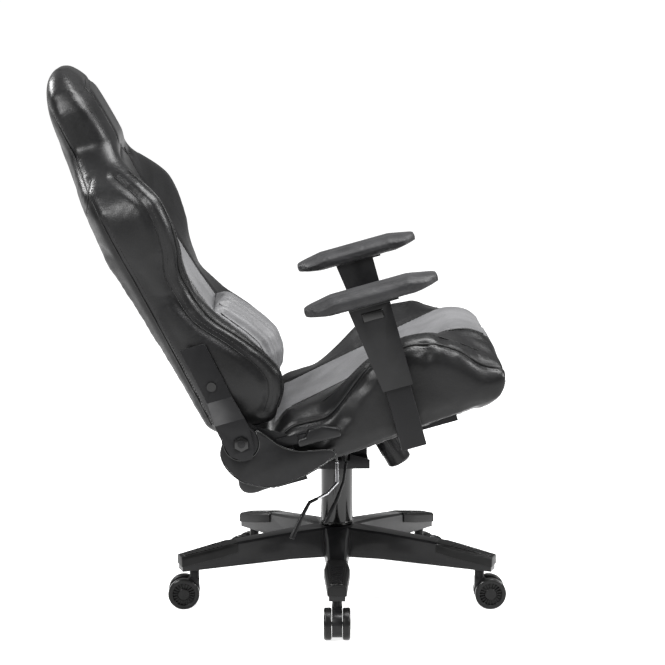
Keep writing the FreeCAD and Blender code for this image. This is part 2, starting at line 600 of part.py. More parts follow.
def seat_section(key):
    """Corners of one cross-section of the bucket seat: channel under it, bolsters beside it."""
    channel = f"{FRAME_HALF} + 3 * cushion_gap"
    row = {field: f"seat_{key}_{field}" for field in SEAT_FIELDS}
    corners = [("seat_panel", row["middle"]), ("seat_crest", row["crest"]),
               ("seat_half - 22", f"{row['shoulder']} + 0.6 * ({row['crest']} - {row['shoulder']})"),
               ("seat_half", row["shoulder"]), ("seat_half - 3", row["foot"]),
               (channel, row["foot"]), (channel, row["channel"])]
    return row["x"], mirrored(corners)


def seat_cushion():
    body = new_body("seat_cushion")
    lofted(body, "seat_foam", "YZ_Plane", [seat_section(key) for key in SEAT_SECTIONS])
    gap = "cushion_gap"
    pocket(body, outline(body, "crossbar_slot", "XZ_Plane",
                         box(f"frame_rear - {gap}", f"frame_rear + crossbar_deep + {gap}",
                             "crossbar_foot - 20", f"frame_foot + {gap}")), "2 * seat_half + 10")
    leaned_back(body)


BELT_COUNT = 5
seat_frame()
seat_belts()
seat_cushion()


# ---- backrest --------------------------------------------------------------------------------

SHIELD_IN = f"{PLATE_OUT} + shield_stand"
BRACKET_IN = f"{PLATE_OUT} + recliner_depth + bracket_gap"
GRIP_IN = f"{PLATE_OUT} + slide_gap + lever_thick + stub_long"
BACK_FRAME_HALF = "(back_half - back_frame_inset)"
BACK_SIDE = "back_half + side_gap"
BACK_BARS = {
    "low": (f"-{BACK_FRAME_HALF}", BACK_FRAME_HALF, "0", "back_frame_tube"),
    "high": (f"-{BACK_FRAME_HALF}", BACK_FRAME_HALF, "back_frame_tall - back_frame_tube",
             "back_frame_tall"),
    "right": (f"-{BACK_FRAME_HALF}", f"-({BACK_FRAME_HALF} - back_frame_tube)", "0", "back_frame_tall"),
    "left": (f"{BACK_FRAME_HALF} - back_frame_tube", BACK_FRAME_HALF, "0", "back_frame_tall"),
}


def leaned_sketch(body, name, bar, grow, forward):
    """Sketch of one frame bar in the plane that leans back with the backrest."""
    y_low, y_high, z_low, z_high = bar
    corners = box(f"{y_low} - {grow}", f"{y_high} + {grow}", f"{z_low} - {grow}", f"{z_high} + {grow}")
    return outline(body, name, "YZ_Plane", corners,
                   f"back_frame_x + ({forward}) * cos(lean * 1deg)",
                   (f"back_frame_z + ({forward}) * sin(lean * 1deg)", "-lean"))


def back_frame():
    body = new_body("back_frame")
    for key, bar in BACK_BARS.items():
        pad(body, leaned_sketch(body, f"back_bar_{key}", bar, "0", "0"), "back_frame_thick")
    for number in range(BOLT_ROWS):
        x, z = bolt_place(number)
        pocket(body, circle(body, f"frame_bolt_{number + 1}", "XZ_Plane", (x, z), "bolt_shank"),
               "2 * back_half")
    leaned_back(body)


def back_section(key):
    row = {field: f"back_{key}_{field}" for field in BACK_FIELDS}
    if key in TRUNK:
        row["half"] = f"(back_half - back_{key}_half)"
    depth = f"({row['wing']} - {row['rear']})"
    corners = [(row["middle"], row["panel"]), (row["wing"], f"{row['half']} - 20"),
               (f"{row['wing']} - 0.12 * {depth}", row["half"]),
               (f"{row['rear']} + 0.15 * {depth}", row["half"]),
               (row["rear"], f"{row['half']} - 30")]
    return row["z"], mirrored(corners, mirror_first=False)


def back_cushion():
    body = new_body("back_cushion")
    lofted(body, "back_foam", "XY_Plane", [back_section(key) for key in BACK_SECTIONS])
    for key, bar in BACK_BARS.items():
        pocket(body, leaned_sketch(body, f"back_slot_{key}", bar, "cushion_gap",
                                   "back_frame_thick + cushion_gap"), "200", symmetric=False)
    for number in range(BOLT_ROWS):
        pocket(body, circle(body, f"foam_bolt_{number + 1}", "XZ_Plane", bolt_place(number),
                            "bolt_shank + 1"), "2 * back_half + 10")
    leaned_back(body)


def lumbar_cushion():
    body = new_body("lumbar_cushion")
    rear = [(f"back_{key}_middle + lumbar_gap", f"back_{key}_z") for key in LUMBAR_THICK]
    front = [(f"back_{key}_middle + lumbar_{key}_thick", f"back_{key}_z") for key in LUMBAR_THICK]
    top = [("back_g_middle + 16", "back_g_z + 7"), ("back_g_middle + 4", "back_g_z + 5")]
    corners = list(reversed(rear)) + front + top
    pad(body, outline(body, "lumbar_foam", "XZ_Plane", corners), "2 * lumbar_half", symmetric=True)
    leaned_back(body)


def bolt_place(number):
    """Centre of one bolt of a back bracket, the lower one first."""
    return (f"bolt_x - {number} * bolt_pitch * tan(lean * 1deg)", f"bolt_z + {number} * bolt_pitch")


def back_bolts():
    body = new_body("back_bolts")
    for side in (-1, 1):
        for number in range(BOLT_ROWS):
            label = f"bolt_{side + 2}_{number + 1}"
            outer = f"{BACK_SIDE} + bracket_thick"
            disc(body, label + "_shank", bolt_place(number), "bolt_shank",
                 *span(side, f"{BACK_FRAME_HALF} - back_frame_tube", outer))
            disc(body, label + "_head", bolt_place(number), "bolt_head",
                 *span(side, outer, f"{outer} + head_thick"))
    leaned_back(body)


def back_bracket(side, name):
    """Flat bar, outboard at the recliner and joggled inward to the side of the backrest."""
    body = new_body(name)
    sections = []
    for key in BRACKET_SECTIONS:
        outboard = BRACKET_SECTIONS[key][BRACKET_FIELDS.index("out")]
        low, high = span(side, *((BRACKET_IN, f"{BRACKET_IN} + bracket_thick") if outboard
                                 else (BACK_SIDE, f"{BACK_SIDE} + bracket_thick")))
        sections.append((f"bracket_{key}_z",
                         box(f"bracket_{key}_rear", f"bracket_{key}_front", low, high)))
    lofted(body, name + "_bar", "XY_Plane", sections)
    low, high = span(side, BACK_SIDE, f"{BRACKET_IN} + bracket_thick")
    hole(body, name + "_pivot", ("hinge_x", "hinge_z"), "hinge_pin + running_fit", low, high)
    for number in range(BOLT_ROWS):
        hole(body, f"{name}_bolt_{number + 1}", bolt_place(number), "bolt_shank", low, high)
    leaned_back(body)


def recliner(side, name):
    body = new_body(name)
    disc(body, name + "_gearbox", ("hinge_x", "hinge_z"), "recliner_radius",
         *span(side, PLATE_OUT, f"{PLATE_OUT} + recliner_depth"))
    disc(body, name + "_pin", ("hinge_x", "hinge_z"), "hinge_pin",
         *span(side, f"{PLATE_OUT} + recliner_depth",
               f"{BRACKET_IN} + bracket_thick + hinge_pin_proud"))
    leaned_back(body)


# Edge of the plastic shield that hides a recliner, clockwise from its rear top corner.
SHIELD_EDGE = [(-202, 418), (-212, 400), (-208, 372), (-190, 342), (-166, 326), (-130, 311), (-60, 318),
               (0, 338), (2, 350), (-24, 357), (-71, 367), (-98, 386), (-114, 408), (-126, 424),
               (-150, 432), (-180, 432)]


def hinge_cover(side, name):
    body = new_body(name)
    low, high = span(side, SHIELD_IN, f"{SHIELD_IN} + shield_thick")
    plate(body, name + "_face", [(str(x), str(z)) for x, z in SHIELD_EDGE], low, high)
    hole(body, name + "_opening", ("hinge_x", "hinge_z"), "recliner_radius + 2", low, high)
    for number, (x, z) in enumerate((("frame_rear + 4", "crossbar_foot + 12"),
                                     ("frame_rear + 38", "crossbar_foot + 12"))):
        disc(body, f"{name}_boss_{number + 1}", (x, z), "boss_radius",
             *span(side, PLATE_OUT, SHIELD_IN))
    leaned_back(body)


def recline_lever():
    body = new_body("recline_lever")
    arm_in, arm_out = f"{PLATE_OUT} + slide_gap", f"{PLATE_OUT} + slide_gap + lever_thick"
    plate(body, "lever_arm", [("lever_x - 10", "lever_z - 8"), ("lever_x + 52", "lever_z - 10"),
                              ("lever_x + 52", "lever_z + 8"), ("lever_x - 6", "lever_z + 10")],
          *span(-1, arm_in, arm_out))
    disc(body, "lever_pivot", ("lever_x", "lever_z"), "lever_pin", *span(-1, PLATE_IN, arm_in))
    plate(body, "lever_stub", box("lever_x + 34", "lever_x + 50", "lever_z - 8", "lever_z + 6"),
          *span(-1, arm_out, GRIP_IN))
    leaned_back(body)


def recline_grip():
    body = new_body("recline_grip")
    plate(body, "grip_bar", [("lever_x + 33", "lever_z - 9"), ("lever_x + 88", "lever_z - 9"),
                             ("lever_x + 116", "lever_z - 10"), ("lever_x + 118", "lever_z + 6"),
                             ("lever_x + 86", "lever_z + 19"), ("lever_x + 58", "lever_z + 20"),
                             ("lever_x + 50", "lever_z + 7"), ("lever_x + 33", "lever_z + 7")],
          *span(-1, GRIP_IN, f"{GRIP_IN} + grip_wide"))
    leaned_back(body)


BOLT_ROWS = 1
back_frame()
back_cushion()
lumbar_cushion()
back_bolts()
for side, name in ((-1, "right"), (1, "left")):
    back_bracket(side, "back_bracket_" + name)
    recliner(side, "recliner_" + name)
    hinge_cover(side, "hinge_cover_" + name)
recline_lever()
recline_grip()


# ---- arms ------------------------------------------------------------------------------------

ARM_Y = "seat_half + arm_clear"
SLEEVE_HALF = "post_thick / 2 + slide_gap + sleeve_side"
POST_FRONT = "post_rear + post_wide"


def arm_span(side, inner, outer):
    return span(side, f"{ARM_Y} + ({inner})", f"{ARM_Y} + ({outer})")


def arm_bracket(side, name):
    body = new_body(name)
    low, high = span(side, "foot_in", f"{ARM_Y} + post_thick / 2")
    slab(body, name + "_foot", box("post_rear", POST_FRONT, low, high), "frame_foot - foot_thick",
         "frame_foot")
    low, high = arm_span(side, "-post_thick / 2", "post_thick / 2")
    slab(body, name + "_post", box("post_rear", POST_FRONT, low, high), "frame_foot - foot_thick",
         "post_top")
    leaned_back(body)


def arm_sleeve(side, name):
    body = new_body(name)
    rear, front = "post_rear - sleeve_wall", f"{POST_FRONT} + sleeve_wall"
    plate(body, name + "_outside", [(rear, "sleeve_foot"), (front, "sleeve_foot"),
                                    (front, "sleeve_top"), (f"{rear} - sleeve_lean", "sleeve_top")],
          *arm_span(side, f"-({SLEEVE_HALF})", SLEEVE_HALF))
    half = "post_thick / 2 + slide_gap"
    low, high = arm_span(side, f"-({half})", half)
    pocket(body, outline(body, name + "_cavity", "XY_Plane",
                         box("post_rear - slide_gap", f"{POST_FRONT} + slide_gap", low, high),
                         "sleeve_foot"), "cavity_top - sleeve_foot", symmetric=False, backward=True)
    low, high = arm_span(side, f"{SLEEVE_HALF} - button_depth", f"{SLEEVE_HALF} + 1")
    pocket(body, outline(body, name + "_button_seat", "XZ_Plane",
                         box("button_x - button_wide / 2", "button_x + button_wide / 2",
                             "button_z - button_tall / 2", "button_z + button_tall / 2"),
                         f"-({low})"), f"({high}) - ({low})", symmetric=False)
    pocket(body, circle(body, name + "_turn_bore", "XY_Plane",
                        ("slider_x", f"{side} * ({ARM_Y})"), "turn_radius + running_fit",
                        "sleeve_top"), "turn_depth + 2", symmetric=False)
    leaned_back(body)


def arm_button(side, name):
    body = new_body(name)
    half_wide, half_tall = "(button_wide / 2 - slide_gap)", "(button_tall / 2 - slide_gap)"
    plate(body, name + "_cap", box(f"button_x - {half_wide}", f"button_x + {half_wide}",
                                   f"button_z - {half_tall}", f"button_z + {half_tall}"),
          *arm_span(side, f"{SLEEVE_HALF} - button_depth + button_proud + slide_gap",
                    f"{SLEEVE_HALF} + button_proud"))
    leaned_back(body)


def arm_slider(side, name):
    body = new_body(name)
    low, high = arm_span(side, "-slider_half", "slider_half")
    slab(body, name + "_plate", box("slider_x - slider_long / 2", "slider_x + slider_long / 2", low, high),
         "sleeve_top + pad_gap", "sleeve_top + pad_gap + slider_thick")
    pad(body, circle(body, name + "_stub", "XY_Plane", ("slider_x", f"{side} * ({ARM_Y})"),
                     "turn_radius", "sleeve_top - turn_depth"), "turn_depth + pad_gap")
    leaned_back(body)


def arm_pad(side, name):
    """Padded top: long board with cut corners."""
    body = new_body(name)
    foot = "sleeve_top + 2 * pad_gap + slider_thick"
    rear, front, cut = "pad_rear", "pad_rear + pad_long", "pad_corner"
    low, high = arm_span(side, "-pad_half", "pad_half")
    corners = [(f"{rear} + {cut}", low), (f"{front} - {cut}", low), (front, f"{low} + {cut}"),
               (front, f"{high} - {cut}"), (f"{front} - {cut}", high), (f"{rear} + {cut}", high),
               (rear, f"{high} - {cut}"), (rear, f"{low} + {cut}")]
    slab(body, name + "_board", corners, foot, f"{foot} + pad_thick")
    leaned_back(body)


for side, name in ((-1, "right"), (1, "left")):
    arm_bracket(side, "arm_bracket_" + name)
    arm_sleeve(side, "arm_sleeve_" + name)
    arm_button(side, "arm_button_" + name)
    arm_slider(side, "arm_slider_" + name)
    arm_pad(side, "arm_pad_" + name)


# ---- check and write -------------------------------------------------------------------------

doc.recompute()
for item in doc.Objects:
    if "Invalid" in item.State or "Error" in item.State:
        raise RuntimeError(f"{item.Name} did not build: {item.State}")
for item in doc.Objects:
    if item.TypeId in ("PartDesign::Body", "Part::Feature"):
        if not item.Shape.isValid() or not item.Shape.Solids:
            raise RuntimeError(f"{item.Label} has no sound solid")
        item.Shape.exportStep(f"parts/{item.Label}.step")
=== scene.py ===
"""Gaming chair: the looks of every piece over the CAD frame."""

import json
import logging
import math
from dataclasses import dataclass
from enum import Enum
from typing import Sequence

import bpy
from mathutils import Matrix, Vector
from mathutils.bvhtree import BVHTree
from mathutils.kdtree import KDTree

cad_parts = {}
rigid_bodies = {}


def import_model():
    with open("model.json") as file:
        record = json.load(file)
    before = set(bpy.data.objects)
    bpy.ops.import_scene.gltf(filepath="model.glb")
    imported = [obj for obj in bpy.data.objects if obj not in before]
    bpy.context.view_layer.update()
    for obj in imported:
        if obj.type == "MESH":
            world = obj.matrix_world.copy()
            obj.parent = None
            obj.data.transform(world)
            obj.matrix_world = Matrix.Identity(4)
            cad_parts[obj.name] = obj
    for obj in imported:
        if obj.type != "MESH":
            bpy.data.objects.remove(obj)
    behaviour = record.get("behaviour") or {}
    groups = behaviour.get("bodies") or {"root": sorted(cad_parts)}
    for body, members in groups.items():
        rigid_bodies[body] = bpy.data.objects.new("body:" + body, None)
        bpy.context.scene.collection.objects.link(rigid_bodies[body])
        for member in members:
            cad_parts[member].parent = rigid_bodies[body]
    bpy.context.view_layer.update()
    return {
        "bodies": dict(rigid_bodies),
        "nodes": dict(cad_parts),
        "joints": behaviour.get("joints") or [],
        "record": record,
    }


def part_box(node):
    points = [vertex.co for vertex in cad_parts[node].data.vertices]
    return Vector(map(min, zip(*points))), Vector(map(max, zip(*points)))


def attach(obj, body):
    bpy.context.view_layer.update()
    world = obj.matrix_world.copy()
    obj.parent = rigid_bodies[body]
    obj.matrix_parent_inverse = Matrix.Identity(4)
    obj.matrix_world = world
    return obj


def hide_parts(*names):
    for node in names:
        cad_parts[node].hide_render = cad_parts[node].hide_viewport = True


log = logging.getLogger("chair")
Point = tuple[float, float, float]
Run = Sequence[Vector]
FORWARD, REARWARD, DOWN = (1, 0, 0), (-1, 0, 0), (0, 0, -1)


class Side(Enum):
    """Which side of the sitter a piece is on."""

    RIGHT = -1
    LEFT = 1

    @property
    def word(self) -> str:
        """Name as the CAD nodes spell it."""
        return self.name.lower()


# ---- finishes --------------------------------------------------------------------------------

def shade(tree: bpy.types.NodeTree, kind: str, **values: object) -> bpy.types.Node:
    """Add a shader node and set its plain sockets.

    Args:
        tree: The material's node tree.
        kind: Blender's type name of the node.
        **values: Socket names, with underscores for spaces, and their values.

    Returns:
        The new node.
    """
    node = tree.nodes.new(kind)
    for name, value in values.items():
        node.inputs[name.replace("_", " ")].default_value = value
    return node


def blank(name: str) -> tuple[bpy.types.Material, bpy.types.NodeTree, bpy.types.Node,
                              bpy.types.Node]:
    """Start a node material.

    Args:
        name: Name of the material.

    Returns:
        The material, its tree, its shader and a Texture Coordinate node.
    """
    material = bpy.data.materials.new(name)
    material.use_nodes = True
    tree = material.node_tree
    return material, tree, tree.nodes["Principled BSDF"], tree.nodes.new("ShaderNodeTexCoord")


def mix_colour(tree: bpy.types.NodeTree, factor: bpy.types.NodeSocket, dark: Sequence[float],
               light: Sequence[float]) -> bpy.types.NodeSocket:
    """Blend two colours by a factor.

    Args:
        tree: The material's node tree.
        factor: Socket of the factor, 0 to 1.
        dark: Colour at the low end.
        light: Colour at the high end.

    Returns:
        The socket of the blended colour.
    """
    ramp = tree.nodes.new("ShaderNodeValToRGB")
    ramp.color_ramp.elements[0].position = 0.3
    ramp.color_ramp.elements[1].position = 0.7
    ramp.color_ramp.elements[0].color = (*dark, 1)
    ramp.color_ramp.elements[1].color = (*light, 1)
    tree.links.new(factor, ramp.inputs["Fac"])
    return ramp.outputs["Color"]


def spread(tree: bpy.types.NodeTree, factor: bpy.types.NodeSocket, low: float,
           high: float) -> bpy.types.NodeSocket:
    """Map a factor to a range.

    Args:
        tree: The material's node tree.
        factor: Socket of the factor, 0 to 1.
        low: Value at 0.
        high: Value at 1.

    Returns:
        The socket of the result.
    """
    node = shade(tree, "ShaderNodeMapRange", To_Min=low, To_Max=high)
    tree.links.new(factor, node.inputs["Value"])
    return node.outputs["Result"]


def raise_by(tree: bpy.types.NodeTree, height: bpy.types.NodeSocket, strength: float,
             distance: float, below: bpy.types.Node | None = None) -> bpy.types.Node:
    """Add a bump.

    Args:
        tree: The material's node tree.
        height: Socket of the height.
        strength: Strength of the bump.
        distance: Its depth in metres.
        below: Another bump that this one lies on.

    Returns:
        The bump node.
    """
    bump = shade(tree, "ShaderNodeBump", Strength=strength, Distance=distance)
    tree.links.new(height, bump.inputs["Height"])
    if below:
        tree.links.new(below.outputs["Normal"], bump.inputs["Normal"])
    return bump


@dataclass(frozen=True)
class Leather:
    """Artificial leather: pebbled grain, soft creases and satin sheen."""

    name: str
    dark: tuple[float, float, float]
    light: tuple[float, float, float]
    rough: float = 0.34
    grain: float = 620.0
    gloss: float = 0.22

    def material(self) -> bpy.types.Material:
        """Build the node material.

        Returns:
            The material.
        """
        material, tree, shader, place = blank(self.name)
        coord = place.outputs["Object"]
        pebble = shade(tree, "ShaderNodeTexVoronoi", Scale=self.grain)
        crease = shade(tree, "ShaderNodeTexNoise", Scale=9.0, Detail=5.0, Distortion=1.2)
        fine = shade(tree, "ShaderNodeTexNoise", Scale=170.0, Detail=4.0)
        for texture in (pebble, crease, fine):
            tree.links.new(coord, texture.inputs["Vector"])
        grain = raise_by(tree, pebble.outputs["Distance"], 0.22, 0.0006)
        soft = raise_by(tree, fine.outputs["Fac"], 0.18, 0.0007, grain)
        folds = raise_by(tree, crease.outputs["Fac"], 0.35, 0.004, soft)
        tree.links.new(folds.outputs["Normal"], shader.inputs["Normal"])
        tree.links.new(mix_colour(tree, crease.outputs["Fac"], self.dark, self.light),
                       shader.inputs["Base Color"])
        tree.links.new(spread(tree, fine.outputs["Fac"], self.rough - 0.07, self.rough + 0.1),
                       shader.inputs["Roughness"])
        shader.inputs["Specular IOR Level"].default_value = self.gloss
        return material


@dataclass(frozen=True)
class Plastic:
    """Moulded plastic with a fine spark-eroded skin."""

    name: str
    colour: tuple[float, float, float]
    rough: float
    texture: float = 0.12
    coat: float = 0.0

    def material(self) -> bpy.types.Material:
        """Build the node material.

        Returns:
            The material.
        """
        material, tree, shader, place = blank(self.name)
        skin = shade(tree, "ShaderNodeTexNoise", Scale=900.0, Detail=3.0)
        wear = shade(tree, "ShaderNodeTexNoise", Scale=22.0, Detail=6.0, Roughness=0.65)
        for texture in (skin, wear):
            tree.links.new(place.outputs["Object"], texture.inputs["Vector"])
        bump = raise_by(tree, skin.outputs["Fac"], self.texture, 0.0005)
        tree.links.new(bump.outputs["Normal"], shader.inputs["Normal"])
        lighter = tuple(value * 2.2 + 0.0012 for value in self.colour)
        tree.links.new(mix_colour(tree, wear.outputs["Fac"], self.colour, lighter),
                       shader.inputs["Base Color"])
        tree.links.new(spread(tree, wear.outputs["Fac"], self.rough - 0.06, self.rough + 0.08),
                       shader.inputs["Roughness"])
        shader.inputs["Specular IOR Level"].default_value = 0.16
        shader.inputs["Coat Weight"].default_value = self.coat
        shader.inputs["Coat Roughness"].default_value = 0.12
        return material


@dataclass(frozen=True)
class Metal:
    """Plated or powder-coated steel with faint brushing."""

    name: str
    colour: tuple[float, float, float]
    rough: float
    metallic: float = 1.0
    orange_peel: float = 0.06

    def material(self) -> bpy.types.Material:
        """Build the node material.

        Returns:
            The material.
        """
        material, tree, shader, place = blank(self.name)
        peel = shade(tree, "ShaderNodeTexNoise", Scale=420.0, Detail=2.0)
        smear = shade(tree, "ShaderNodeTexNoise", Scale=30.0, Detail=5.0)
        for texture in (peel, smear):
            tree.links.new(place.outputs["Object"], texture.inputs["Vector"])
        bump = raise_by(tree, peel.outputs["Fac"], self.orange_peel, 0.0005)
        tree.links.new(bump.outputs["Normal"], shader.inputs["Normal"])
        darker = tuple(value * 0.8 for value in self.colour)
        tree.links.new(mix_colour(tree, smear.outputs["Fac"], darker, self.colour),
                       shader.inputs["Base Color"])
        tree.links.new(spread(tree, smear.outputs["Fac"], self.rough * 0.8, self.rough * 1.25),
                       shader.inputs["Roughness"])
        shader.inputs["Metallic"].default_value = self.metallic
        shader.inputs["Specular IOR Level"].default_value = 0.16
        return material


@dataclass(frozen=True)
class Webbing:
    """Woven elastic belt."""

    name: str = "elastic_webbing"

    def material(self) -> bpy.types.Material:
        """Build the node material.

        Returns:
            The material.
        """
        material, tree, shader, place = blank(self.name)
        weave = shade(tree, "ShaderNodeTexWave", Scale=260.0, Distortion=0.6)
        tree.links.new(place.outputs["Object"], weave.inputs["Vector"])
        bump = raise_by(tree, weave.outputs["Fac"], 0.6, 0.0008)
        tree.links.new(bump.outputs["Normal"], shader.inputs["Normal"])
        tree.links.new(mix_colour(tree, weave.outputs["Fac"], (0.006, 0.006, 0.006),
                                  (0.03, 0.03, 0.031)), shader.inputs["Base Color"])
        shader.inputs["Roughness"].default_value = 0.85
        return material


class Finishes:
    """All materials of the chair, built once."""

    def __init__(self) -> None:
        """Build every finish."""
        self.leather = Leather("black_leather", (0.0020, 0.0020, 0.0021),
                               (0.0055, 0.0055, 0.0058)).material()
        self.panel = Leather("grey_leather", (0.065, 0.065, 0.067), (0.100, 0.100, 0.103),
                             rough=0.42).material()
        self.piping = Leather("piping_leather", (0.0015, 0.0015, 0.0016), (0.004, 0.004, 0.004),
                              rough=0.4, grain=900.0, gloss=0.2).material()
        self.thread = Plastic("sewing_thread", (0.012, 0.012, 0.012), 0.7).material()
        self.nylon = Plastic("black_nylon", (0.002, 0.002, 0.0022), 0.36, coat=0.1).material()
        self.cap = Plastic("cap_nylon", (0.002, 0.002, 0.002), 0.46, texture=0.3).material()
        self.gloss = Plastic("gloss_plastic", (0.001, 0.001, 0.001), 0.16, 0.03,
                             coat=0.4).material()
        self.shield = Plastic("shield_plastic", (0.003, 0.003, 0.0032), 0.30).material()
        self.wheel = Plastic("wheel_plastic", (0.003, 0.003, 0.003), 0.28).material()
        self.pad = Plastic("arm_pad_skin", (0.010, 0.010, 0.0105), 0.46, texture=0.45).material()
        self.coated = Metal("powder_coated_steel", (0.006, 0.006, 0.0065), 0.40, 0.1).material()
        self.bright = Metal("bright_steel", (0.62, 0.62, 0.64), 0.2).material()
        self.webbing = Webbing().material()


# ---- workshop --------------------------------------------------------------------------------

class Workshop:
    """Common steps of making, shaping and placing pieces."""

    def __init__(self, frame: dict) -> None:
        """Keep the frame and work out the lean of the rest pose.
        """
        self.nodes: dict = frame["nodes"]
        self.joints = {joint["name"]: joint for joint in frame["joints"]}
        tilt = self.joints["seat_tilt"]
        turn = Matrix.Rotation(-math.radians(tilt["range_deg"][1]), 4, "Y")
        pivot = Matrix.Translation(Vector(tilt["pos_m"]))
        self.lean = pivot @ turn @ pivot.inverted()

    def leaned(self, point: Sequence[float]) -> Vector:
        """Place, in the rest pose, of a point that is given with the seat upright."""
        return self.lean @ Vector(point)

    @staticmethod
    def aimed(centre: Sequence[float], axis: Vector) -> Matrix:
        """Matrix that moves the origin to a place and turns Z towards an axis."""
        turn = axis.to_track_quat("Z", "Y").to_matrix().to_4x4()
        return Matrix.Translation(Vector(centre)) @ turn

    @staticmethod
    def only(obj: bpy.types.Object) -> None:
        """Select one object and make it active.

        Args:
            obj: The object.
        """
        if bpy.context.object and bpy.context.object.mode != "OBJECT":
            bpy.ops.object.mode_set(mode="OBJECT")
        bpy.ops.object.select_all(action="DESELECT")
        obj.select_set(True)
        bpy.context.view_layer.objects.active = obj

    def copy(self, node: str, name: str) -> bpy.types.Object:
        """Copy a CAD node, merge its loose triangles and drop the edges inside flat faces.

        Args:
            node: The CAD node.
            name: Name of the copy.

        Returns:
            The copy.
        """
        source = self.nodes[node]
        obj = bpy.data.objects.new(name, source.data.copy())
        obj.data.materials.clear()
        bpy.context.collection.objects.link(obj)
        self.only(obj)
        bpy.ops.object.mode_set(mode="EDIT")
        bpy.ops.mesh.select_all(action="SELECT")
        bpy.ops.mesh.remove_doubles(threshold=0.00002)
        bpy.ops.mesh.dissolve_limited(angle_limit=math.radians(0.6))
        bpy.ops.object.mode_set(mode="OBJECT")
        return obj

    def modify(self, obj: bpy.types.Object, kind: str, **settings: object) -> None:
        """Add a modifier and apply it.

        Args:
            obj: The object.
            kind: Blender's type name of the modifier.
            **settings: Settings of the modifier.
        """
        self.only(obj)
        modifier = obj.modifiers.new(kind.lower(), kind)
        for key, value in settings.items():
            setattr(modifier, key, value)
        bpy.ops.object.modifier_apply(modifier=modifier.name)

    def smooth(self, obj: bpy.types.Object, degrees: float = 34.0) -> None:
        """Shade smooth, with edges sharper than the angle kept."""
        self.only(obj)
        bpy.ops.object.shade_smooth_by_angle(angle=math.radians(degrees))

    def moulded(self, node: str, body: str, material: bpy.types.Material, edge: float,
                segments: int = 2) -> bpy.types.Object:
        """Remake a CAD node with rounded edges.

        Args:
            node: The CAD node that the piece stands for.
            body: The CAD body that it rides on.
            material: Its finish.
            edge: Width of the rounded edges in metres.
            segments: Steps in a rounded edge.

        Returns:
            The finished piece.
        """
        obj = self.copy(node, node + "_piece")
        self.modify(obj, "BEVEL", width=edge, segments=segments, limit_method="ANGLE",
                    angle_limit=math.radians(28), use_clamp_overlap=True)
        self.smooth(obj)
        self.finish(obj, body, material, node)
        return obj

    def finish(self, obj: bpy.types.Object, body: str, material: bpy.types.Material,
               *nodes: str) -> None:
        """Give a piece its material and body, and hide the CAD nodes that it stands for.

        Args:
            obj: The piece.
            body: The CAD body that it rides on.
            material: Its finish.
            *nodes: The CAD nodes that it replaces.
        """
        if material.name not in obj.data.materials:
            obj.data.materials.append(material)
        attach(obj, body)
        if nodes:
            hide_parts(*nodes)
        log.info("%s rides on %s", obj.name, body)

    def paint(self, node: str, material: bpy.types.Material) -> None:
        """Give a CAD node that is shown as it is its finish."""
        self.nodes[node].data.materials.clear()
        self.nodes[node].data.materials.append(material)

    @staticmethod
    def cube(name: str, size: Sequence[float], centre: Sequence[float]) -> bpy.types.Object:
        """Add a box as a start for shaping.

        Args:
            name: Name of the box.
            size: Its three sides in metres.
            centre: Its middle.

        Returns:
            The box.
        """
        bpy.ops.object.select_all(action="DESELECT")
        bpy.ops.mesh.primitive_cube_add(size=1)
        obj = bpy.context.object
        obj.name = name
        obj.data.transform(Matrix.Translation(Vector(centre)) @ Matrix.Diagonal((*size, 1)))
        return obj

    @staticmethod
    def disc(name: str, sides: int, radius: float, depth: float) -> bpy.types.Object:
        """Add an upright cylinder at the origin as a start for shaping.

        Args:
            name: Name of the cylinder.
            sides: Number of its faces all round.
            radius: Its radius in metres.
            depth: Its height in metres.

        Returns:
            The cylinder.
        """
        bpy.ops.object.select_all(action="DESELECT")
        bpy.ops.mesh.primitive_cylinder_add(vertices=sides, radius=radius, depth=depth)
        obj = bpy.context.object
        obj.name = name
        return obj

    def bead(self, name: str, body: str, material: bpy.types.Material,
             radii: tuple[float, float], segments: int, place: Matrix) -> None:
        """Lay a ring of round section.

        Args:
            name: Name of the ring.
            body: The CAD body that it rides on.
            material: Its finish.
            radii: Radius of the ring and of its round section, in metres.
            segments: Steps all round.
            place: Where it goes, from flat at the origin.
        """
        bpy.ops.object.select_all(action="DESELECT")
        bpy.ops.mesh.primitive_torus_add(major_radius=radii[0], minor_radius=radii[1],
                                         major_segments=segments, minor_segments=8)
        ring = bpy.context.object
        ring.name = name
        ring.data.transform(place)
        self.smooth(ring, 80)
        self.finish(ring, body, material)

    def join(self, main: bpy.types.Object,
             others: Sequence[bpy.types.Object]) -> bpy.types.Object:
        """Join pieces into the first one.

        Args:
            main: The piece that stays.
            others: The pieces that go into it.

        Returns:
            The piece that stays.
        """
        self.only(main)
        for other in others:
            other.select_set(True)
        bpy.ops.object.join()
        return main

    def tube(self, name: str, runs: Sequence[Run], radius: float,
             smooth: bool = True) -> bpy.types.Object:
        """Sweep a round section along runs of points and make it a mesh.

        Args:
            name: Name of the piece.
            runs: One list of points for each separate stretch.
            radius: Radius of the round section in metres.
            smooth: Whether the stretches are smooth curves or straight.

        Returns:
            The mesh object.
        """
        curve = bpy.data.curves.new(name, "CURVE")
        curve.dimensions = "3D"
        curve.bevel_depth = radius
        curve.bevel_resolution = 2 if smooth else 0
        curve.resolution_u = 3
        curve.use_fill_caps = True
        for run in runs:
            spline = curve.splines.new("NURBS" if smooth else "POLY")
            spline.points.add(len(run) - 1)
            for slot, point in zip(spline.points, run):
                slot.co = (*point, 1)
            if smooth:
                spline.order_u = 3
                spline.use_endpoint_u = True
        obj = bpy.data.objects.new(name, curve)
        bpy.context.collection.objects.link(obj)
        self.only(obj)
        bpy.ops.object.convert(target="MESH")
        obj = bpy.context.object
        self.smooth(obj, 60)
        return obj


# ---- upholstery ------------------------------------------------------------------------------

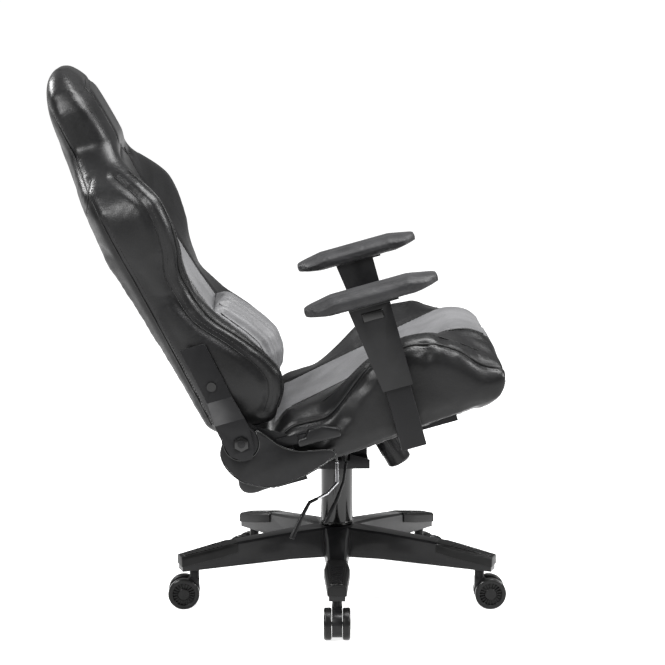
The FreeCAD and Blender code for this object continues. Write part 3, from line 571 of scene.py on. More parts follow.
@dataclass
class Upholsterer:
    """Turns plain foam solids into swollen, seamed and piped cushions."""

    shop: Workshop
    finishes: Finishes
    pressure: float = 4.0
    frames: int = 14
    channel_step: float = 0.003
    stitch_pitch: float = 0.006
    stitch_length: float = 0.0038
    stitch_lift: float = 0.0003
    thread_radius: float = 0.0005

    def skin(self, obj: bpy.types.Object, voxel: float, rounds: int) -> None:
        """Remesh a foam solid evenly and round its corners off.

        Args:
            obj: The cushion.
            voxel: Mesh width in metres.
            rounds: Passes of smoothing.
        """
        self.shop.modify(obj, "REMESH", mode="VOXEL", voxel_size=voxel)
        self.shop.modify(obj, "SMOOTH", factor=0.5, iterations=rounds)

    def swell(self, obj: bpy.types.Object, cap: float) -> None:
        """Blow a cushion up by cloth simulation, each point by no more than a cap.

        Args:
            obj: The cushion.
            cap: Furthest that a point may move, in metres.
        """
        before = [vertex.co.copy() for vertex in obj.data.vertices]
        self.shop.only(obj)
        cloth = obj.modifiers.new("cloth", "CLOTH")
        cloth.settings.use_pressure = True
        cloth.settings.uniform_pressure_force = self.pressure
        cloth.settings.effector_weights.gravity = 0
        cloth.point_cache.frame_end = self.frames
        for step in range(1, self.frames + 1):
            bpy.context.scene.frame_set(step)
        bpy.ops.object.modifier_apply(modifier=cloth.name)
        bpy.context.scene.frame_set(1)
        for vertex, start in zip(obj.data.vertices, before):
            moved = vertex.co - start
            if moved.length > cap:
                vertex.co = start + moved * (cap / moved.length)

    @staticmethod
    def surface(obj: bpy.types.Object) -> BVHTree:
        """Make a search tree of an object's faces.

        Args:
            obj: The object.

        Returns:
            The tree.
        """
        mesh = obj.data
        return BVHTree.FromPolygons([vertex.co for vertex in mesh.vertices],
                                    [polygon.vertices for polygon in mesh.polygons])

    def trace(self, tree: BVHTree, starts: Sequence[Point], towards: Point) -> list[Vector]:
        """Find where rays meet a surface.

        Args:
            tree: Search tree of the surface.
            starts: Where the rays start, given with the seat upright.
            towards: Their direction, given with the seat upright.

        Returns:
            The points that were met.
        """
        direction = (self.shop.lean.to_3x3() @ Vector(towards)).normalized()
        hits = [tree.ray_cast(self.shop.leaned(start), direction)[0] for start in starts]
        return [hit for hit in hits if hit]

    @staticmethod
    def on(tree: BVHTree, path: Run) -> list[Vector]:
        """Move a path onto a surface."""
        return [tree.find_nearest(point)[0] for point in path]

    def press(self, obj: bpy.types.Object, paths: Sequence[Run], depth: float,
              width: float) -> None:
        """Sink sewn channels into a cushion along paths on its surface.

        Args:
            obj: The cushion.
            paths: Points along each channel.
            depth: Depth of a channel in metres.
            width: Half its width in metres.
        """
        dense: list[Vector] = []
        for path in paths:
            for start, end in zip(path, path[1:]):
                steps = max(1, int((end - start).length / self.channel_step))
                dense += [start.lerp(end, step / steps) for step in range(steps + 1)]
        lookup = KDTree(len(dense))
        for index, point in enumerate(dense):
            lookup.insert(point, index)
        lookup.balance()
        normals = [vertex.normal.copy() for vertex in obj.data.vertices]
        for vertex, normal in zip(obj.data.vertices, normals):
            distance = lookup.find(vertex.co)[2]
            if distance < width:
                vertex.co -= normal * depth * (1 - (distance / width) ** 2) ** 2

    def sew(self, name: str, obj: bpy.types.Object, body: str, paths: Sequence[Run],
            radius: float, offset: float = 0.0085, stitched: bool = True) -> None:
        """Lay piping along paths and a line of stitches beside it.

        Args:
            name: Start of the names of the new pieces.
            obj: The cushion that is sewn.
            body: The CAD body that it rides on.
            paths: Points along each seam.
            radius: Radius of the piping in metres.
            offset: Distance of the stitches from the seam in metres.
            stitched: Whether a line of stitches shows beside the seam.
        """
        piping = self.shop.tube(name + "_piping", paths, radius)
        self.shop.finish(piping, body, self.finishes.piping)
        if not stitched:
            return
        tree = self.surface(obj)
        stitches: list[list[Vector]] = []
        for path in paths:
            for start, end in zip(path, path[1:]):
                along = end - start
                count = int(along.length / self.stitch_pitch)
                for step in range(count):
                    first = start + along * (step / count)
                    normal = tree.find_nearest(first)[1]
                    beside = along.normalized().cross(normal).normalized() * offset
                    pair = [tree.find_nearest(first + beside + along.normalized() * shift)
                            for shift in (0.0, self.stitch_length)]
                    stitches.append([hit[0] + hit[1] * self.stitch_lift for hit in pair])
        thread = self.shop.tube(name + "_stitches", stitches, self.thread_radius, False)
        self.shop.finish(thread, body, self.finishes.thread)


def between(low: float, high: float, count: int) -> list[float]:
    """Give evenly spaced values from low to high."""
    return [low + (high - low) * step / (count - 1) for step in range(count)]


@dataclass
class Backrest:
    """The moulded backrest with wings, waist and head part. Sizes are upright, in metres."""

    shop: Workshop
    upholsterer: Upholsterer
    voxel: float = 0.0075
    ahead: float = 0.3
    reach: float = 0.6
    foot: float = 0.430
    slot_foot: Point = (-0.214, -0.160, 0.432)
    slot_top: Point = (-0.330, -0.275, 0.915)
    slot_half: float = 0.213
    panel_half: float = 0.130
    narrow_from: float = 0.86
    narrowing: float = 0.32
    grey_span: tuple[float, float] = (0.44, 0.90)
    seam_top: float = 0.985
    cross_half: float = 0.118
    cross: float = 0.905
    neck: float = 1.000
    head_half: float = 0.082
    head_span: tuple[float, float] = (1.015, 1.13)
    crown: float = 0.012
    wing_span: tuple[float, float] = (0.450, 0.960)
    wing_inset: float = 0.017
    roll: float = 0.030
    flank_span: tuple[float, float] = (0.45, 1.15)

    def foam(self) -> bpy.types.Object:
        """Copy the foam body and fill the slots for the frame.

        Returns:
            The foam body.
        """
        obj = self.shop.copy("back_cushion", "backrest_cover")
        filling = self.shop.cube("slot_filling", (1, 1, 1), (0, 0, 0))
        for vertex in filling.data.vertices:
            rear, front, height = self.slot_top if vertex.co.z > 0 else self.slot_foot
            x = front if vertex.co.x > 0 else rear
            y = math.copysign(self.slot_half, vertex.co.y)
            vertex.co = self.shop.leaned((x, y, height))
        return self.shop.join(obj, [filling])

    def on_front(self, tree: BVHTree, places: Sequence[tuple[float, float]]) -> list[Vector]:
        """Find points on the front of the cover at places given by y and z."""
        return self.upholsterer.trace(tree, [(self.ahead, y, z) for y, z in places], REARWARD)

    def on_side(self, tree: BVHTree, side: Side,
                places: Sequence[tuple[float, float]]) -> list[Vector]:
        """Find points on one side of the cover at places given by x and z."""
        starts = [(x, side.value * self.reach, z) for x, z in places]
        return self.upholsterer.trace(tree, starts, (0, -side.value, 0))

    def half_panel(self, z: float) -> float:
        """Half of the middle panel's width at a height."""
        return self.panel_half - max(0.0, z - self.narrow_from) * self.narrowing

    def wing_edge(self, tree: BVHTree, side: Side) -> list[Vector]:
        """Trace the front edge of a wing and on up round the shoulder.

        Args:
            tree: Search tree of the cover's faces.
            side: Which wing.

        Returns:
            Points along the edge.
        """
        low, high = self.wing_span
        places = []
        for z in between(low, high, 26):
            widest = self.on_side(tree, Side.RIGHT, [(-0.16 - (z - low) * 0.25, z)])
            half = abs(widest[0].y)
            places.append((side.value * (half - self.wing_inset), z))
        return self.on_front(tree, places)

    def outer_edge(self, tree: BVHTree, side: Side, path: Run) -> list[Vector]:
        """Trace a wing's outer side, a roll's width behind the piping of its front edge.

        Args:
            tree: Search tree of the cover's faces.
            side: Which wing.
            path: Points along the front edge.

        Returns:
            Points along the outer side.
        """
        back = self.shop.lean.inverted()
        upright = [back @ point for point in path]
        return self.on_side(tree, side, [(place.x - self.roll, place.z) for place in upright])

    def head_seams(self, tree: BVHTree) -> list[list[Vector]]:
        """Trace the seams at both sides and over the top of the head part.

        Args:
            tree: Search tree of the cover's faces.

        Returns:
            Points along each seam.
        """
        half, (low, high) = self.head_half, self.head_span
        sides = [self.on_front(tree, [(side.value * half, z) for z in between(low, high, 9)])
                 for side in Side]
        arc = [(y, high + self.crown * math.cos(y / half * math.pi / 2))
               for y in between(-half, half, 11)]
        return sides + [self.on_front(tree, arc)]

    def flank_seams(self, tree: BVHTree, side: Side) -> list[list[Vector]]:
        """Trace the short joint at the shoulder and the long seam down a side.

        Args:
            tree: Search tree of the cover's faces.
            side: Which side.

        Returns:
            Points along both seams.
        """
        joint = [(-0.336 + share * 0.028, 0.896 + share * 0.068)
                 for share in between(0.0, 1.0, 8)]
        seam = [(-0.212 - (z - self.foot) * 0.205, z) for z in between(*self.flank_span, 30)]
        return [self.on_side(tree, side, joint), self.on_side(tree, side, seam)]

    def build(self) -> None:
        """Build the cover, its seams and its piping."""
        work, shop = self.upholsterer, self.shop
        obj = self.foam()
        work.skin(obj, self.voxel, 14)
        work.swell(obj, 0.006)
        tree = work.surface(obj)
        heights = between(self.foot + 0.03, self.seam_top, 26)
        seams = [self.on_front(tree, [(side.value * self.half_panel(z), z) for z in heights])
                 for side in Side]
        widths = between(-self.cross_half, self.cross_half, 15)
        neck = self.on_front(tree, [(y * 1.05, self.neck - abs(y) * 0.25) for y in widths])
        upper = self.on_front(tree, [(y, self.cross) for y in widths])
        head = self.head_seams(tree)
        wings = [self.wing_edge(tree, side) for side in Side]
        rolls = [self.outer_edge(tree, side, wing) for side, wing in zip(Side, wings)]
        flanks = [seam for side in Side for seam in self.flank_seams(tree, side)]
        work.press(obj, seams + [neck, upper] + head, 0.0045, 0.012)
        work.press(obj, wings + flanks, 0.0030, 0.010)
        work.press(obj, rolls, 0.0055, 0.015)
        shop.modify(obj, "SUBSURF", levels=1, render_levels=1)
        shop.smooth(obj, 80)
        tree = work.surface(obj)
        for name, paths, radius in (
                ("backrest_panel", seams, 0.0022), ("backrest_cross", [neck, upper], 0.0014),
                ("headrest", head, 0.0016), ("backrest_wing", wings, 0.0030),
                ("backrest_roll", rolls, 0.0012), ("backrest_flank", flanks, 0.0018)):
            work.sew(name, obj, "back", [work.on(tree, path) for path in paths], radius)
        shop.finish(obj, "back", work.finishes.leather, "back_cushion")
        self.dress(obj)

    def dress(self, obj: bpy.types.Object) -> None:
        """Give the front of the middle panel the grey leather.

        Args:
            obj: The cover.
        """
        obj.data.materials.append(self.upholsterer.finishes.panel)
        back = self.shop.lean.inverted()
        forward = self.shop.lean.to_3x3() @ Vector(FORWARD)
        low, high = self.grey_span
        for polygon in obj.data.polygons:
            place = back @ polygon.center
            inside = abs(place.y) < self.half_panel(place.z)
            if inside and low < place.z < high and polygon.normal.dot(forward) > 0.2:
                polygon.material_index = 1


@dataclass
class LumbarCushion:
    """Loose cushion in front of the backrest, sewn into upright ribs. Sizes are upright, in metres."""

    shop: Workshop
    upholsterer: Upholsterer
    voxel: float = 0.005
    half: float = 0.122
    ribs: int = 7
    foot: float = 0.478
    top: float = 0.656
    end_inset: float = 0.006
    side_inset: float = 0.012
    rear: float = -0.112
    rear_slope: float = 0.36
    rear_from: float = 0.5

    def channels(self, tree: BVHTree) -> list[list[Vector]]:
        """Trace the channels between the ribs, from the foot of the cushion to its top.

        Args:
            tree: Search tree of the cushion's faces.

        Returns:
            Points along each channel.
        """
        heights = between(self.foot + self.end_inset, self.top - self.end_inset, 14)
        edge = self.half - self.side_inset
        return [self.upholsterer.trace(tree, [(0.3, y, z) for z in heights], REARWARD)
                for y in between(-edge, edge, self.ribs)]

    def round_off(self, obj: bpy.types.Object) -> None:
        """Thin the cushion towards its sides and shorten it there.

        Args:
            obj: The cushion.
        """
        back = self.shop.lean.inverted()
        middle = (self.foot + self.top) / 2
        for vertex in obj.data.vertices:
            place = back @ vertex.co
            aside = min(1.0, abs(place.y) / self.half) ** 2.6
            rear = self.rear - max(0.0, place.z - self.rear_from) * self.rear_slope
            place.x = rear + (place.x - rear) * (1 - 0.5 * aside)
            place.z = middle + (place.z - middle) * (1 - 0.16 * aside)
            vertex.co = self.shop.leaned(place)

    def build(self) -> None:
        """Build the cushion and sink its channels."""
        work, shop = self.upholsterer, self.shop
        obj = shop.copy("lumbar_cushion", "lumbar_cover")
        shop.modify(obj, "BEVEL", width=0.016, segments=3, limit_method="ANGLE",
                    angle_limit=math.radians(40))
        work.skin(obj, self.voxel, 8)
        self.round_off(obj)
        work.swell(obj, 0.007)
        work.press(obj, self.channels(work.surface(obj)), 0.010, 0.016)
        shop.modify(obj, "SUBSURF", levels=1, render_levels=1)
        shop.smooth(obj, 80)
        work.sew("lumbar", obj, "back", self.channels(work.surface(obj)), 0.0014, stitched=False)
        shop.finish(obj, "back", work.finishes.panel, "lumbar_cushion")


@dataclass
class SeatCushion:
    """Bucket seat with raised side bolsters. Sizes are upright, in metres."""

    shop: Workshop
    upholsterer: Upholsterer
    voxel: float = 0.0075
    above: float = 0.7
    ahead: float = 0.6
    panel_half: float = 0.135
    rear: float = -0.060
    front: float = 0.340
    edge: float = 0.240
    edge_span: tuple[float, float] = (-0.095, 0.322)
    edge_drop: tuple[float, float] = (0.405, 0.372)
    crest: float = 0.205
    crest_span: tuple[float, float] = (0.0, 0.318)
    waist: float = 0.165
    nose: float = 0.452
    grey_from: float = -0.1

    def on_top(self, tree: BVHTree, places: Sequence[tuple[float, float]]) -> list[Vector]:
        """Find points on top of the cover at places given by x and y."""
        return self.upholsterer.trace(tree, [(x, y, self.above) for x, y in places], DOWN)

    def on_front(self, tree: BVHTree, places: Sequence[tuple[float, float]]) -> list[Vector]:
        """Find points on the front of the cover at places given by y and z."""
        return self.upholsterer.trace(tree, [(self.ahead, y, z) for y, z in places], REARWARD)

    def build(self) -> None:
        """Build the cover, its seams and its piping."""
        work, shop = self.upholsterer, self.shop
        obj = shop.copy("seat_cushion", "seat_cover")
        work.skin(obj, self.voxel, 12)
        work.swell(obj, 0.006)
        tree = work.surface(obj)
        panels, edges, crests = [], [], []
        for side in Side:
            panel, edge = side.value * self.panel_half, side.value * self.edge
            panels.append(self.on_top(tree, [(x, panel)
                                             for x in between(self.rear, self.front, 24)]))
            drop = side.value * (self.edge - 0.004)
            edges.append(self.on_top(tree, [(x, edge) for x in between(*self.edge_span, 26)])
                         + self.on_front(tree, [(drop, z) for z in between(*self.edge_drop, 4)]))
            crests.append(self.on_top(tree, [(x, side.value * self.crest)
                                             for x in between(*self.crest_span, 20)]))
        widths = between(-self.panel_half, self.panel_half, 13)
        crossings = [self.on_front(tree, [(y, self.nose - abs(y) * 0.12) for y in widths]),
                     self.on_top(tree, [(self.waist, y) for y in widths])]
        work.press(obj, panels + crossings, 0.0035, 0.011)
        work.press(obj, edges, 0.003, 0.010)
        shop.modify(obj, "SUBSURF", levels=1, render_levels=1)
        shop.smooth(obj, 80)
        tree = work.surface(obj)
        for name, paths, radius in (
                ("seat_panel", panels, 0.0024), ("seat_cross", crossings, 0.0014),
                ("seat_edge", edges, 0.0030), ("seat_crest", crests, 0.0012)):
            work.sew(name, obj, "seat", [work.on(tree, path) for path in paths], radius)
        shop.finish(obj, "seat", work.finishes.leather, "seat_cushion")
        self.dress(obj)

    def dress(self, obj: bpy.types.Object) -> None:
        """Give the top of the middle panel the grey leather.

        Args:
            obj: The cover.
        """
        obj.data.materials.append(self.upholsterer.finishes.panel)
        back = self.shop.lean.inverted()
        up = self.shop.lean.to_3x3() @ Vector((0.3, 0, 1))
        for polygon in obj.data.polygons:
            place = back @ polygon.center
            inside = abs(place.y) < self.panel_half and place.x > self.grey_from
            if inside and polygon.normal.dot(up) > 0.25:
                polygon.material_index = 1


# ---- hard parts ------------------------------------------------------------------------------

@dataclass
class Casters:
    """Five twin-wheel casters."""

    shop: Workshop
    finishes: Finishes
    count: int = 5
    face: float = 0.0256
    spokes: int = 20
    slot_inner: float = 0.0125
    slot_outer: float = 0.0215
    web: float = 0.006
    cap_radius: float = 0.0112
    lip_radius: float = 0.0298

    def build(self) -> None:
        """Build every caster."""
        for number in range(1, self.count + 1):
            body = f"caster_{number}"
            self.shop.moulded(f"{body}_fork", body, self.finishes.nylon, 0.0012)
            self.shop.paint(f"{body}_pins", self.finishes.bright)
            for letter, outward in (("a", -1), ("b", 1)):
                self.wheel(number, letter, outward)

    def wheel(self, number: int, letter: str, outward: int) -> None:
        """Build one wheel with its spokes, hub cap and tread.

        Args:
            number: Which caster.
            letter: Which of its wheels.
            outward: 1 if the wheel's outer face looks along its joint's axis.
        """
        joint = self.shop.joints[f"caster_{number}_wheel_{letter}_spin"]
        axis = Vector(joint["axis"]).normalized() * outward
        place = self.shop.aimed(joint["pos_m"], axis)
        body = f"wheel_{number}{letter}"
        self.shop.moulded(f"caster_{number}_wheel_{letter}", body, self.finishes.wheel, 0.0012, 3)
        length = self.slot_outer - self.slot_inner
        middle = (self.slot_inner + length / 2, 0, self.face - self.web / 2 - 0.0006)
        spokes = []
        for step in range(self.spokes):
            spoke = self.shop.cube("spoke", (length, 0.0017, self.web - 0.001), middle)
            spoke.data.transform(Matrix.Rotation(math.tau * step / self.spokes, 4, "Z"))
            spokes.append(spoke)
        cap = self.shop.disc("cap", 40, self.cap_radius, 0.004)
        cap.data.transform(Matrix.Translation((0, 0, self.face - 0.0016)))
        self.shop.modify(cap, "BEVEL", width=0.001, segments=3, limit_method="ANGLE")
        wheel_face = self.shop.join(cap, spokes)
        wheel_face.name = f"caster_{number}_face_{letter}"
        wheel_face.data.transform(place)
        self.shop.smooth(wheel_face)
        self.shop.finish(wheel_face, body, self.finishes.wheel)
        outer = Matrix.Translation((0, 0, self.face - 0.0026))
        self.shop.bead(f"caster_{number}_lip_{letter}", body, self.finishes.gloss,
                       (self.lip_radius, 0.0014), 64, place @ outer)


@dataclass
class StarBase:
    """Five-legged base with a foot-rest cap on each leg."""

    shop: Workshop
    finishes: Finishes
    legs: int = 5
    first: float = -92.0
    above: float = 0.3
    rib_start: float = 0.246
    rib_pitch: float = 0.0085
    rib_count: int = 9
    rib_size: Point = (0.0028, 0.026, 0.0024)
    rib_shortening: float = 0.0009
    inset: tuple[tuple[float, float], ...] = ((0.214, -0.019), (0.322, -0.011), (0.322, 0.011),
                                              (0.214, 0.019))

    def build(self) -> None:
        """Build legs, caps and what lies on the caps."""
        self.shop.moulded("star_base", "base", self.finishes.nylon, 0.0022, 3)
        caps = self.shop.moulded("leg_caps", "base", self.finishes.cap, 0.0022, 3)
        tree = Upholsterer.surface(caps)
        ribs = [rib for leg in range(self.legs) for rib in self.ribs(tree, self.angle(leg))]
        self.insets(tree)
        grip = self.shop.join(ribs[0], ribs[1:])
        grip.name = "cap_grip_ribs"
        self.shop.modify(grip, "BEVEL", width=0.0007, segments=2, limit_method="ANGLE")
        self.shop.smooth(grip)
        self.shop.finish(grip, "base", self.finishes.nylon)

    def angle(self, leg: int) -> float:
        """Direction of a leg in radians."""
        return math.radians(self.first + 360 / self.legs * leg)

    def ribs(self, tree: BVHTree, angle: float) -> list[bpy.types.Object]:
        """Set a row of grip ribs on a cap.

        Args:
            tree: Search tree of the caps' faces.
            angle: Direction of the cap's leg in radians.

        Returns:
            The ribs.
        """
        outward = Vector((math.cos(angle), math.sin(angle), 0))
        length, width, height = self.rib_size
        ribs = []
        for step in range(self.rib_count):
            place = outward * (self.rib_start + step * self.rib_pitch)
            place.z = self.above
            hit, normal = tree.ray_cast(place, Vector(DOWN))[:2]
            rib = self.shop.cube("rib", (length, width - step * self.rib_shortening, height),
                                 (0, 0, 0))
            across = Vector((0, 0, 1)).cross(outward)
            slope = outward - normal * outward.dot(normal)
            frame = Matrix((slope, across, normal)).transposed()
            rib.data.transform(Matrix.Translation(hit) @ frame.to_4x4())
            ribs.append(rib)
        return ribs

    def insets(self, tree: BVHTree) -> None:
        """Lay the raised edge of the panel let into the top of each cap.

        Args:
            tree: Search tree of the caps' faces.
        """
        loops = []
        for leg in range(self.legs):
            turn = Matrix.Rotation(self.angle(leg), 4, "Z")
            corners = [turn @ Vector((x, y, self.above)) for x, y in self.inset + self.inset[:1]]
            steps = [start.lerp(end, share) for start, end in zip(corners, corners[1:])
                     for share in between(0.0, 0.95, 9)]
            # The panel's inner end lies on the cap's own, so some rays there just miss the cap.
            hits = [tree.ray_cast(step, Vector(DOWN))[0] for step in steps]
            loop = [hit for hit in hits if hit]
            loops.append(loop + loop[:1])
        edge = self.shop.tube("cap_inset_edges", loops, 0.0011)
        self.shop.finish(edge, "base", self.finishes.gloss)


@dataclass
class Column:
    """Gas lift with its cover."""

    shop: Workshop
    finishes: Finishes
    rings: tuple[float, ...] = (0.006, 0.118)

    def build(self) -> None:
        """Build the cover with a bead near each end, and dress the lift."""
        shop, finishes = self.shop, self.finishes
        cover = shop.moulded("column_cover", "column", finishes.gloss, 0.0012, 3)
        low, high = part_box("column_cover")
        radius = (high[0] - low[0]) / 2
        for number, height in enumerate(self.rings, 1):
            shop.bead(f"cover_bead_{number}", "column", finishes.gloss, (radius - 0.0004, 0.0016),
                      96, Matrix.Translation((0, 0, low[2] + height)))
        for node, material in (("stand_tube", finishes.coated), ("gas_rod", finishes.bright),
                               ("gas_cylinder", finishes.bright)):
            shop.paint(node, material)


@dataclass
class Mechanism:
    """Rocking mechanism with its spring, knob and levers."""

    shop: Workshop
    finishes: Finishes
    coils: int = 14
    coil_radius: float = 0.0115
    coil_steps: int = 16
    wire: float = 0.0021
    knob_ribs: int = 18
    rib_size: Point = (0.003, 0.0042, 0.040)
    rib_place: Point = (0.0246, 0, -0.026)

    def build(self) -> None:
        """Build every piece under the seat."""
        shop, finishes = self.shop, self.finishes
        shop.moulded("mechanism_base", "swivel", finishes.coated, 0.0014)
        shop.moulded("mechanism_plate", "seat", finishes.coated, 0.0010)
        for node, material in (("tilt_pin", finishes.bright), ("seat_frame", finishes.coated),
                               ("seat_belts", finishes.webbing), ("back_frame", finishes.coated),
                               ("back_bolts", finishes.gloss)):
            shop.paint(node, material)
        self.spring()
        self.knob()
        self.lever("lift_lever", finishes.bright)
        self.lever("lock_lever", finishes.coated)

    def spring(self) -> None:
        """Wind the torsion spring round the tilt pin."""
        pivot = Vector(self.shop.joints["seat_tilt"]["pos_m"])
        low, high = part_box("tension_spring")
        count = self.coils * self.coil_steps
        length = high[1] - low[1] - 2 * self.wire
        points = []
        for step in range(count + 1):
            turn = math.tau * step / self.coil_steps
            points.append(Vector((pivot.x + self.coil_radius * math.cos(turn),
                                  low[1] + self.wire + length * step / count,
                                  pivot.z + self.coil_radius * math.sin(turn))))
        coil = self.shop.tube("torsion_spring", [points], self.wire)
        self.shop.finish(coil, "swivel", self.finishes.bright, "tension_spring")

    def knob(self) -> None:
        """Build the tension knob with grip ribs round it."""
        self.shop.moulded("tension_knob", "knob", self.finishes.nylon, 0.0016, 3)
        joint = self.shop.joints["tension_turn"]
        ribs = []
        for step in range(self.knob_ribs):
            rib = self.shop.cube("rib", self.rib_size, self.rib_place)
            rib.data.transform(Matrix.Rotation(math.tau * step / self.knob_ribs, 4, "Z"))
            ribs.append(rib)
        grip = self.shop.join(ribs[0], ribs[1:])
        grip.name = "knob_grip"
        grip.data.transform(self.shop.aimed(joint["pos_m"], Vector(joint["axis"]).normalized()))
        self.shop.modify(grip, "BEVEL", width=0.0008, segments=2, limit_method="ANGLE")
        self.shop.smooth(grip)
        self.shop.finish(grip, "knob", self.finishes.nylon)

    def lever(self, name: str, material: bpy.types.Material) -> None:
        """Dress a wire lever and build the flat blade over its end.

        Args:
            name: The lever's CAD node and body.
            material: Finish of its wire.
        """
        self.shop.paint(name, material)
        grip = self.shop.copy(name + "_grip", name + "_blade")
        self.shop.modify(grip, "REMESH", mode="VOXEL", voxel_size=0.0012)
        self.shop.modify(grip, "SMOOTH", factor=0.5, iterations=6)
        low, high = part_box(name + "_grip")
        for vertex in grip.data.vertices:
            share = min(1.0, max(0.0, (high[2] - vertex.co.z) / (high[2] - low[2])))
            centre_x = high[0] + (low[0] - high[0]) * share
            centre_y = high[1] + (low[1] - high[1]) * share
            vertex.co.x += (vertex.co.x - centre_x) * 0.5 * share
            vertex.co.y = centre_y + (vertex.co.y - centre_y) * 0.8
        self.shop.smooth(grip, 60)
        self.shop.finish(grip, name, self.finishes.nylon, name + "_grip")


@dataclass
class ReclineGear:
    """Brackets, recliners, shields and the recline lever at the sides."""

    shop: Workshop
    finishes: Finishes
    bead_radius: float = 0.0016
    bead_sunk: float = 0.0011
    seal_place: float = 0.2672

    def build(self) -> None:
        """Build both sides."""
        shop, finishes = self.shop, self.finishes
        for side in Side:
            word = side.word
            shop.moulded(f"back_bracket_{word}", "back", finishes.coated, 0.0014)
            shop.moulded(f"recliner_{word}", "seat", finishes.coated, 0.0016)
            shop.moulded(f"hinge_cover_{word}", "seat", finishes.shield, 0.0026, 3)
            self.rim(side)
            self.bolts(side)
        shop.moulded("recline_lever", "recline_lever", finishes.coated, 0.0012)
        shop.moulded("recline_grip", "recline_lever", finishes.nylon, 0.0050, 4)

    @staticmethod
    def outline(mesh: bpy.types.Mesh, outer: float) -> list[Vector]:
        """Follow the longest edge round the faces that lie in one upright plane.

        Args:
            mesh: A CAD node's mesh.
            outer: The plane's place along Y in metres.

        Returns:
            The closed run of points.
        """
        uses: dict[tuple[int, int], int] = {}
        for polygon in mesh.polygons:
            if abs(polygon.center.y - outer) < 0.0004:
                for key in polygon.edge_keys:
                    uses[key] = uses.get(key, 0) + 1
        follows: dict[int, list[int]] = {}
        for start, end in (key for key, count in uses.items() if count == 1):
            follows.setdefault(start, []).append(end)
            follows.setdefault(end, []).append(start)
        loops = []
        while follows:
            here = next(iter(follows))
            loop = [here]
            while here in follows:
                options = [after for after in follows.pop(here) if after in follows]
                if not options:
                    break
                here = options[0]
                loop.append(here)
            loops.append([mesh.vertices[index].co.copy() for index in loop + loop[:1]])
        return max(loops, key=lambda run: sum((b - a).length for a, b in zip(run, run[1:])))

    def rim(self, side: Side) -> None:
        """Run a bead round the outer face of a shield.

        Args:
            side: Which side.
        """
        node = f"hinge_cover_{side.word}"
        low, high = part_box(node)
        outer = high[1] if side is Side.LEFT else low[1]
        sunk = Vector((0, -side.value * self.bead_sunk, 0))
        run = [point + sunk for point in self.outline(self.shop.nodes[node].data, outer)]
        bead = self.shop.tube(f"shield_bead_{side.word}", [run], self.bead_radius)
        self.shop.finish(bead, "seat", self.finishes.gloss)

    def bolts(self, side: Side) -> None:
        """Set a hexagon nut on the pivot pin and close the gap round the recliner.

        Args:
            side: Which side.
        """
        pivot = Vector(self.shop.joints["recline"]["pos_m"])
        low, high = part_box(f"recliner_{side.word}")
        face = high[1] if side is Side.LEFT else low[1]
        turn = Matrix.Rotation(math.pi / 2, 4, "X")
        gloss, shield = self.finishes.gloss, self.finishes.shield
        for name, sides, radius, depth, place, material in (
                ("pivot_nut", 6, 0.0150, 0.0040, face - side.value * 0.001, gloss),
                ("pivot_cap", 48, 0.0075, 0.0030, face + side.value * 0.001, shield),
                ("gap_seal", 64, 0.0380, 0.0016, side.value * self.seal_place, shield)):
            disc = self.shop.disc(f"{name}_{side.word}", sides, radius, depth)
            self.shop.modify(disc, "BEVEL", width=0.0006, segments=2, limit_method="ANGLE")
            disc.data.transform(Matrix.Translation((pivot.x, place, pivot.z)) @ turn)
            self.shop.smooth(disc)
            self.shop.finish(disc, "seat", material)


@dataclass
class Arms:
    """Height-adjustable arms with padded tops."""

    shop: Workshop
    upholsterer: Upholsterer
    chamfer: float = 0.022
    chamfer_drop: float = 0.010
    end: float = 0.055
    end_drop: float = 0.009
    under_end: float = 0.040
    under_rise: float = 0.006
    under_edge: float = 0.012
    under_inset: float = 0.006

    def build(self) -> None:
        """Build both arms."""
        shop, finishes = self.shop, self.upholsterer.finishes
        for side in Side:
            word = side.word
            shop.moulded(f"arm_bracket_{word}", "seat", finishes.coated, 0.0022, 3)
            shop.moulded(f"arm_sleeve_{word}", f"arm_{word}_height", finishes.nylon, 0.0045, 4)
            shop.moulded(f"arm_button_{word}", f"arm_{word}_button", finishes.gloss, 0.0014, 3)
            shop.moulded(f"arm_slider_{word}", f"arm_{word}_turn", finishes.nylon, 0.0016)
            self.pad(side)

    def taper(self, obj: bpy.types.Object) -> None:
        """Chamfer a pad's top all round and thin both of its ends.

        Args:
            obj: The pad.
        """
        back = self.shop.lean.inverted()
        upright = [back @ vertex.co for vertex in obj.data.vertices]
        low = Vector([min(place[axis] for place in upright) for axis in range(3)])
        high = Vector([max(place[axis] for place in upright) for axis in range(3)])
        for vertex, place in zip(obj.data.vertices, upright):
            end = min(place.x - low.x, high.x - place.x)
            flank = min(place.y - low.y, high.y - place.y)
            level = (place.z - low.z) / (high.z - low.z)
            drop = max(0.0, 1 - flank / self.chamfer) * self.chamfer_drop
            drop += max(0.0, 1 - end / self.end) * self.end_drop
            place.z -= drop * level
            place.z += max(0.0, 1 - end / self.under_end) * self.under_rise * (1 - level)
            inset = max(0.0, 1 - flank / self.under_edge) * self.under_inset * (1 - level)
            place.y += inset if place.y < (low.y + high.y) / 2 else -inset
            vertex.co = self.shop.leaned(place)

    def pad(self, side: Side) -> None:
        """Round a pad off like moulded foam.

        Args:
            side: Which side.
        """
        node = f"arm_pad_{side.word}"
        obj = self.shop.copy(node, f"arm_cushion_{side.word}")
        self.upholsterer.skin(obj, 0.0032, 3)
        self.taper(obj)
        self.upholsterer.swell(obj, 0.002)
        self.shop.smooth(obj, 45)
        self.shop.finish(obj, f"arm_{side.word}_pad", self.upholsterer.finishes.pad, node)


# ---- studio ----------------------------------------------------------------------------------

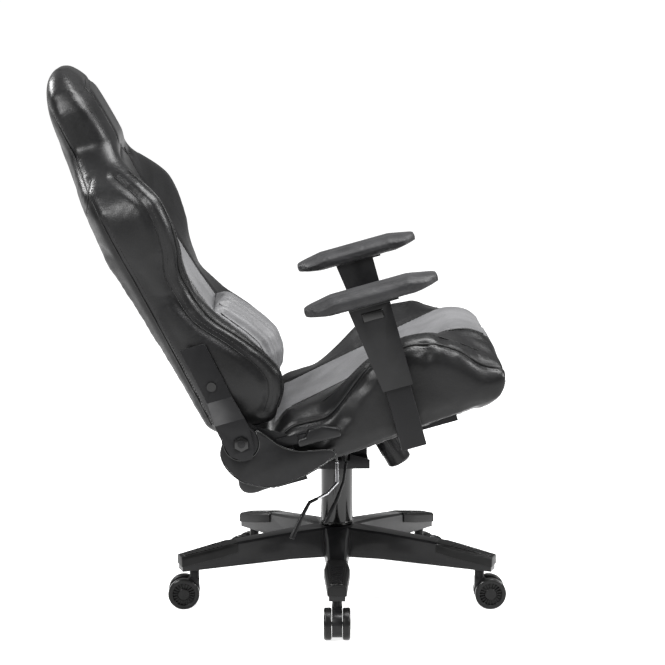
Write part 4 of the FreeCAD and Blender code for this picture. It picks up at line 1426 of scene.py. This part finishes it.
@dataclass
class Studio:
    """White room, soft lights and the camera."""

    floor_size: float = 900.0
    lens: float = 125.6
    distance: float = 4.6
    height: float = 1.303
    orbit: float = 2.0
    aside: float = -0.0088
    pitch: float = 9.4
    glow: float = 0.85
    sky: float = 0.34

    def floor(self) -> None:
        """Lay the plain floor."""
        bpy.ops.object.select_all(action="DESELECT")
        bpy.ops.mesh.primitive_plane_add(size=self.floor_size)
        floor = bpy.context.object
        floor.name = "floor"
        material, _tree, shader, _place = blank("white_floor")
        shader.inputs["Base Color"].default_value = (0.5, 0.5, 0.5, 1)
        shader.inputs["Roughness"].default_value = 0.7
        shader.inputs["Specular IOR Level"].default_value = 0.0
        shader.inputs["Emission Color"].default_value = (1, 1, 1, 1)
        shader.inputs["Emission Strength"].default_value = self.glow
        floor.data.materials.append(material)

    def lamp(self, name: str, place: Point, aim: Point, size: float, power: float) -> None:
        """Add a soft area light.

        Args:
            name: Name of the light.
            place: Where it hangs.
            aim: What it points at.
            size: Length of its sides in metres.
            power: Its power in watts.
        """
        data = bpy.data.lights.new(name, "AREA")
        data.size = size
        data.energy = power
        light = bpy.data.objects.new(name, data)
        bpy.context.collection.objects.link(light)
        light.location = place
        light.rotation_euler = (Vector(aim) - Vector(place)).to_track_quat("-Z", "Y").to_euler()

    def build(self) -> None:
        """Set up floor, lights, surroundings and camera."""
        self.floor()
        self.lamp("top_light", (0.5, -0.2, 3.0), (0, 0, 0.4), 1.6, 180)
        self.lamp("near_light", (-2.2, -3.0, 2.6), (-0.1, 0, 0.7), 1.0, 170)
        self.lamp("front_light", (2.6, -0.8, 2.0), (0, 0, 0.6), 1.1, 130)
        self.lamp("back_light", (-2.4, 1.0, 2.4), (0, 0, 0.8), 0.9, 130)
        world = bpy.data.worlds.new("white_room")
        world.use_nodes = True
        background = world.node_tree.nodes["Background"]
        background.inputs["Color"].default_value = (1, 1, 1, 1)
        background.inputs["Strength"].default_value = self.sky
        bpy.context.scene.world = world
        bpy.context.scene.view_settings.view_transform = "Standard"
        orbit = math.radians(self.orbit)
        data = bpy.data.cameras.new("camera")
        data.lens = self.lens
        data.sensor_width = 36
        data.clip_end = 100
        camera = bpy.data.objects.new("camera", data)
        bpy.context.collection.objects.link(camera)
        across, away = math.cos(orbit), math.sin(orbit)
        camera.location = (self.aside * across - self.distance * away,
                           -self.aside * away - self.distance * across, self.height)
        camera.rotation_euler = (math.radians(90 - self.pitch), 0, -orbit)
        bpy.context.scene.camera = camera


def main() -> None:
    """Build the chair's looks, then the studio."""
    logging.basicConfig(level=logging.INFO, format="%(name)s: %(message)s")
    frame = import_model()
    shop = Workshop(frame)
    finishes = Finishes()
    upholsterer = Upholsterer(shop, finishes)
    for part in (Casters(shop, finishes), StarBase(shop, finishes), Column(shop, finishes),
                 Mechanism(shop, finishes), ReclineGear(shop, finishes), Arms(shop, upholsterer),
                 SeatCushion(shop, upholsterer), Backrest(shop, upholsterer),
                 LumbarCushion(shop, upholsterer)):
        log.info("building %s", type(part).__name__)
        part.build()
    Studio().build()
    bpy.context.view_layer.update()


if __name__ == "__main__":
    main()
